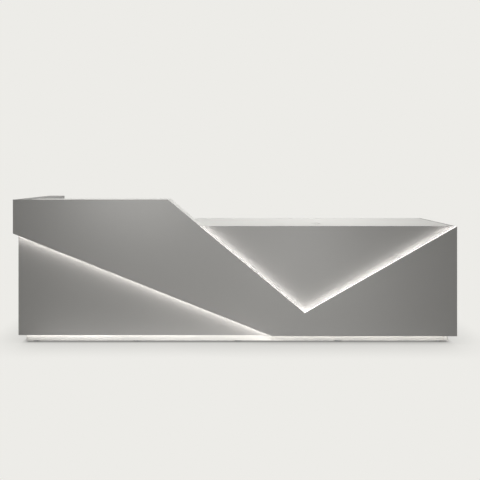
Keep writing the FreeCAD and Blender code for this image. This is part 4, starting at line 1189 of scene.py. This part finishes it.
# %% Switch and inlet
# half width, half height and place of each side, in millimetres
FRAME_HALF = 1.6
FRAME_SIDES = ((FRAME_HALF, 9.0, (16.2, 0.0)), (14.7, FRAME_HALF, (0.0, 8.7)))
MARK_RING = [(1.5, -0.1), (2.4, -0.1), (2.4, 0.15), (1.5, 0.15)]
MARK_PLACE = (6.5 * MM, 4.75 * MM)
ROCKER_TILT = math.radians(8.0)
FACE_SLANT = math.atan2(1.5, 13.0)
PIN_PLACES = ((-6.5, -1.5), (6.5, -1.5), (0.0, 3.0))

box_low, box_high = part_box("power_box")
joints = {joint["child"]: joint for joint in record["behaviour"]["joints"]}
pivot = Vector(joints["power_rocker"]["pos_m"])
surround = bmesh.new()
for side in (-1.0, 1.0):
    for half_x, half_z, shift in FRAME_SIDES:
        middle = pivot + Vector((side * shift[0] * MM, 0.0, side * shift[1] * MM))
        block(surround, (middle.x - half_x * MM, box_high.y - 0.3 * MM, middle.z - half_z * MM),
              (middle.x + half_x * MM, box_high.y + 1.2 * MM, middle.z + half_z * MM), 0.4 * MM)
piece("switch_frame", surround, "dark_plastic", "desk")

tilted = Matrix.Translation(pivot) @ Matrix.Rotation(ROCKER_TILT, 4, "Z")
marks = bmesh.new()
block(marks, (-0.5 * MM, -0.1 * MM, -2.4 * MM), (0.5 * MM, 0.15 * MM, 2.4 * MM), 0.1 * MM)
line_mark = list(marks.verts)
turned(marks, (0, 0, 0), (0, 1, 0), MARK_RING, hollow=True)
ring_mark = [vertex for vertex in marks.verts if vertex not in line_mark]
for verts, side in ((line_mark, -1.0), (ring_mark, 1.0)):
    seat = Matrix.Translation((side * MARK_PLACE[0], MARK_PLACE[1], 0.0))
    slanted = seat @ Matrix.Rotation(side * FACE_SLANT, 4, "Z")
    bmesh.ops.transform(marks, matrix=tilted @ slanted, verts=verts)
piece("switch_marks", marks, "lead_sheath", "power_rocker")

pins = bmesh.new()
inlet_x = box_high.x - 0.25 * (box_high.x - box_low.x)
for x, z in PIN_PLACES:
    block(pins, (inlet_x + (x - 1.0) * MM, box_low.y + 5 * MM, pivot.z + (z - 2.0) * MM),
          (inlet_x + (x + 1.0) * MM, box_low.y + 18.2 * MM, pivot.z + (z + 2.0) * MM), 0.5 * MM)
piece("inlet_pins", pins, "bright_steel", "desk")

# %% [markdown]
# ## Grips of the grommets
#
# Each grommet's half cover is turned by a fingertip, so it has three low bars beside its notch. They get
# shorter towards the rim, as the cover does.

# %% Grips of the grommets
GRIP_HALVES = (9.0 * MM, 7.5 * MM, 6.0 * MM)
GRIP_HALF_WIDTH = 0.7 * MM
GRIP_HEIGHT = 0.7 * MM
GRIP_SINK = 0.2 * MM
GRIP_FIRST = 16.0 * MM
GRIP_PITCH = 3.2 * MM

for side in ("left", "right"):
    low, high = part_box("grommet_cover_" + side)
    middle_x = (low.x + high.x) / 2
    grip = bmesh.new()
    for step, half in enumerate(GRIP_HALVES):
        y = high.y - (GRIP_FIRST - GRIP_PITCH * step)
        block(grip, (middle_x - half, y - GRIP_HALF_WIDTH, high.z - GRIP_SINK),
              (middle_x + half, y + GRIP_HALF_WIDTH, high.z + GRIP_HEIGHT), 0.35 * MM)
    piece("grommet_grip_" + side, grip, "white_plastic", "grommet_cover_" + side)

# %% [markdown]
# ## Light strips along the front
#
# The opal covers glow by their own material. The light that they throw on the set-back panels is what gives
# the desk its look, so a narrow lamp runs along each lit edge, in the gap. It leans towards the panel, so
# that the wash is brightest beside the edge and fades evenly. On the two arms of the V, a weak second lamp
# shines more across the gap, so that no dark band is left beside the cover. The ends of the edges are read
# from the corners of the face board.

# %% Light strips along the front
STRIP_WIDTH = 0.006
STRIP_LIFT = 0.001
STRIP_LEAN = math.radians(14.0)
ACROSS_LEAN = math.radians(62.0)
ACROSS_SHARE = 0.16
VALLEY_WATTS_PER_METRE = 0.42
LOWER_WATTS_PER_METRE = 0.46
VALLEY_HEIGHT = 0.24
FAR = 100.0
UP = Vector((0.0, 0.0, 1.0))
BACK = Vector((0.0, 1.0, 0.0))


def face_corner(rank):
    """The corner of the face board that ranks lowest."""
    return min((vertex.co.copy() for vertex in nodes["front_cladding"].data.vertices), key=rank)


def leaning(away, inward, angle):
    """A direction away from a lit edge that leans inward by an angle."""
    return math.cos(angle) * away + math.sin(angle) * inward


def light_strip(name, start, end, outward, watts_per_metre):
    """A thin lamp from start to end that shines along outward."""
    run = end - start
    lamp = lamp_panel(name, run.length, STRIP_WIDTH, watts_per_metre * run.length)
    lamp.data.color = LED_WHITE[:3]
    x_axis = run.normalized()
    z_axis = -(outward - x_axis * outward.dot(x_axis)).normalized()
    y_axis = z_axis.cross(x_axis)
    lamp.matrix_world = Matrix((x_axis, y_axis, z_axis)).transposed().to_4x4()
    lamp.location = (start + end) / 2
    print(name, rounded(start), "to", rounded(end))


strip_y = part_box("front_cladding")[0].y + 0.5 * STRIP_WIDTH
worktop_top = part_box("worktop")[1].z
tall_right = face_corner(lambda p: -p.x - FAR * p.z)
valley = face_corner(lambda p: abs(p.z - VALLEY_HEIGHT))
low_right = face_corner(lambda p: -p.z - FAR * p.x)
lower_left = face_corner(lambda p: p.z + FAR * p.x)
lower_right = face_corner(lambda p: p.x + FAR * p.z)
slope_top = valley.lerp(tall_right, (worktop_top - valley.z) / (tall_right.z - valley.z))
for name, start, end, away, watts in (("slope_strip", slope_top, valley, UP, VALLEY_WATTS_PER_METRE),
                                      ("rise_strip", valley, low_right, UP, VALLEY_WATTS_PER_METRE),
                                      ("lower_strip", lower_left, lower_right, -UP, LOWER_WATTS_PER_METRE)):
    start = Vector((start.x, strip_y, start.z)) + STRIP_LIFT * away
    end = Vector((end.x, strip_y, end.z)) + STRIP_LIFT * away
    light_strip(name, start, end, leaning(away, BACK, STRIP_LEAN), watts)
    if away is UP:
        light_strip(name + "_across", start, end, leaning(away, BACK, ACROSS_LEAN), ACROSS_SHARE * watts)

# %% [markdown]
# ## Light strips of the side and the plinth
#
# The lower line goes on round the left corner, and a strip under the overhang washes the plinth. The plinth's
# strip is in five lengths. They are weakest in the middle, where the lamps of the studio already reach under
# the overhang, and strongest on the right, where these fade.

# %% Light strips of the side and the plinth
PLINTH_LEAN = math.radians(72.0)
PLINTH_GAP = 0.014
PLINTH_WATTS_PER_METRE = (0.14, 0.10, 0.06, 0.19, 0.22)
RIGHT = Vector((1.0, 0.0, 0.0))

side_low, side_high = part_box("side_cladding")
side_x = side_low.x + 0.5 * STRIP_WIDTH
side_z = lower_left.z - STRIP_LIFT
light_strip("side_strip", Vector((side_x, strip_y, side_z)), Vector((side_x, side_high.y, side_z)),
            leaning(-UP, RIGHT, STRIP_LEAN), LOWER_WATTS_PER_METRE)

sole_low, sole_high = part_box("plinth_diffuser")
sole_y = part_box("plinth_front_board")[0].y - PLINTH_GAP
sole_z = sole_low.z - STRIP_LIFT
sole_ends = row(sole_low.x, sole_high.x, 0.0, len(PLINTH_WATTS_PER_METRE) + 1)
for number, watts in enumerate(PLINTH_WATTS_PER_METRE):
    start = Vector((sole_ends[number], sole_y, sole_z))
    end = Vector((sole_ends[number + 1], sole_y, sole_z))
    light_strip("plinth_strip_%d" % (number + 1), start, end, leaning(-UP, BACK, PLINTH_LEAN), watts)
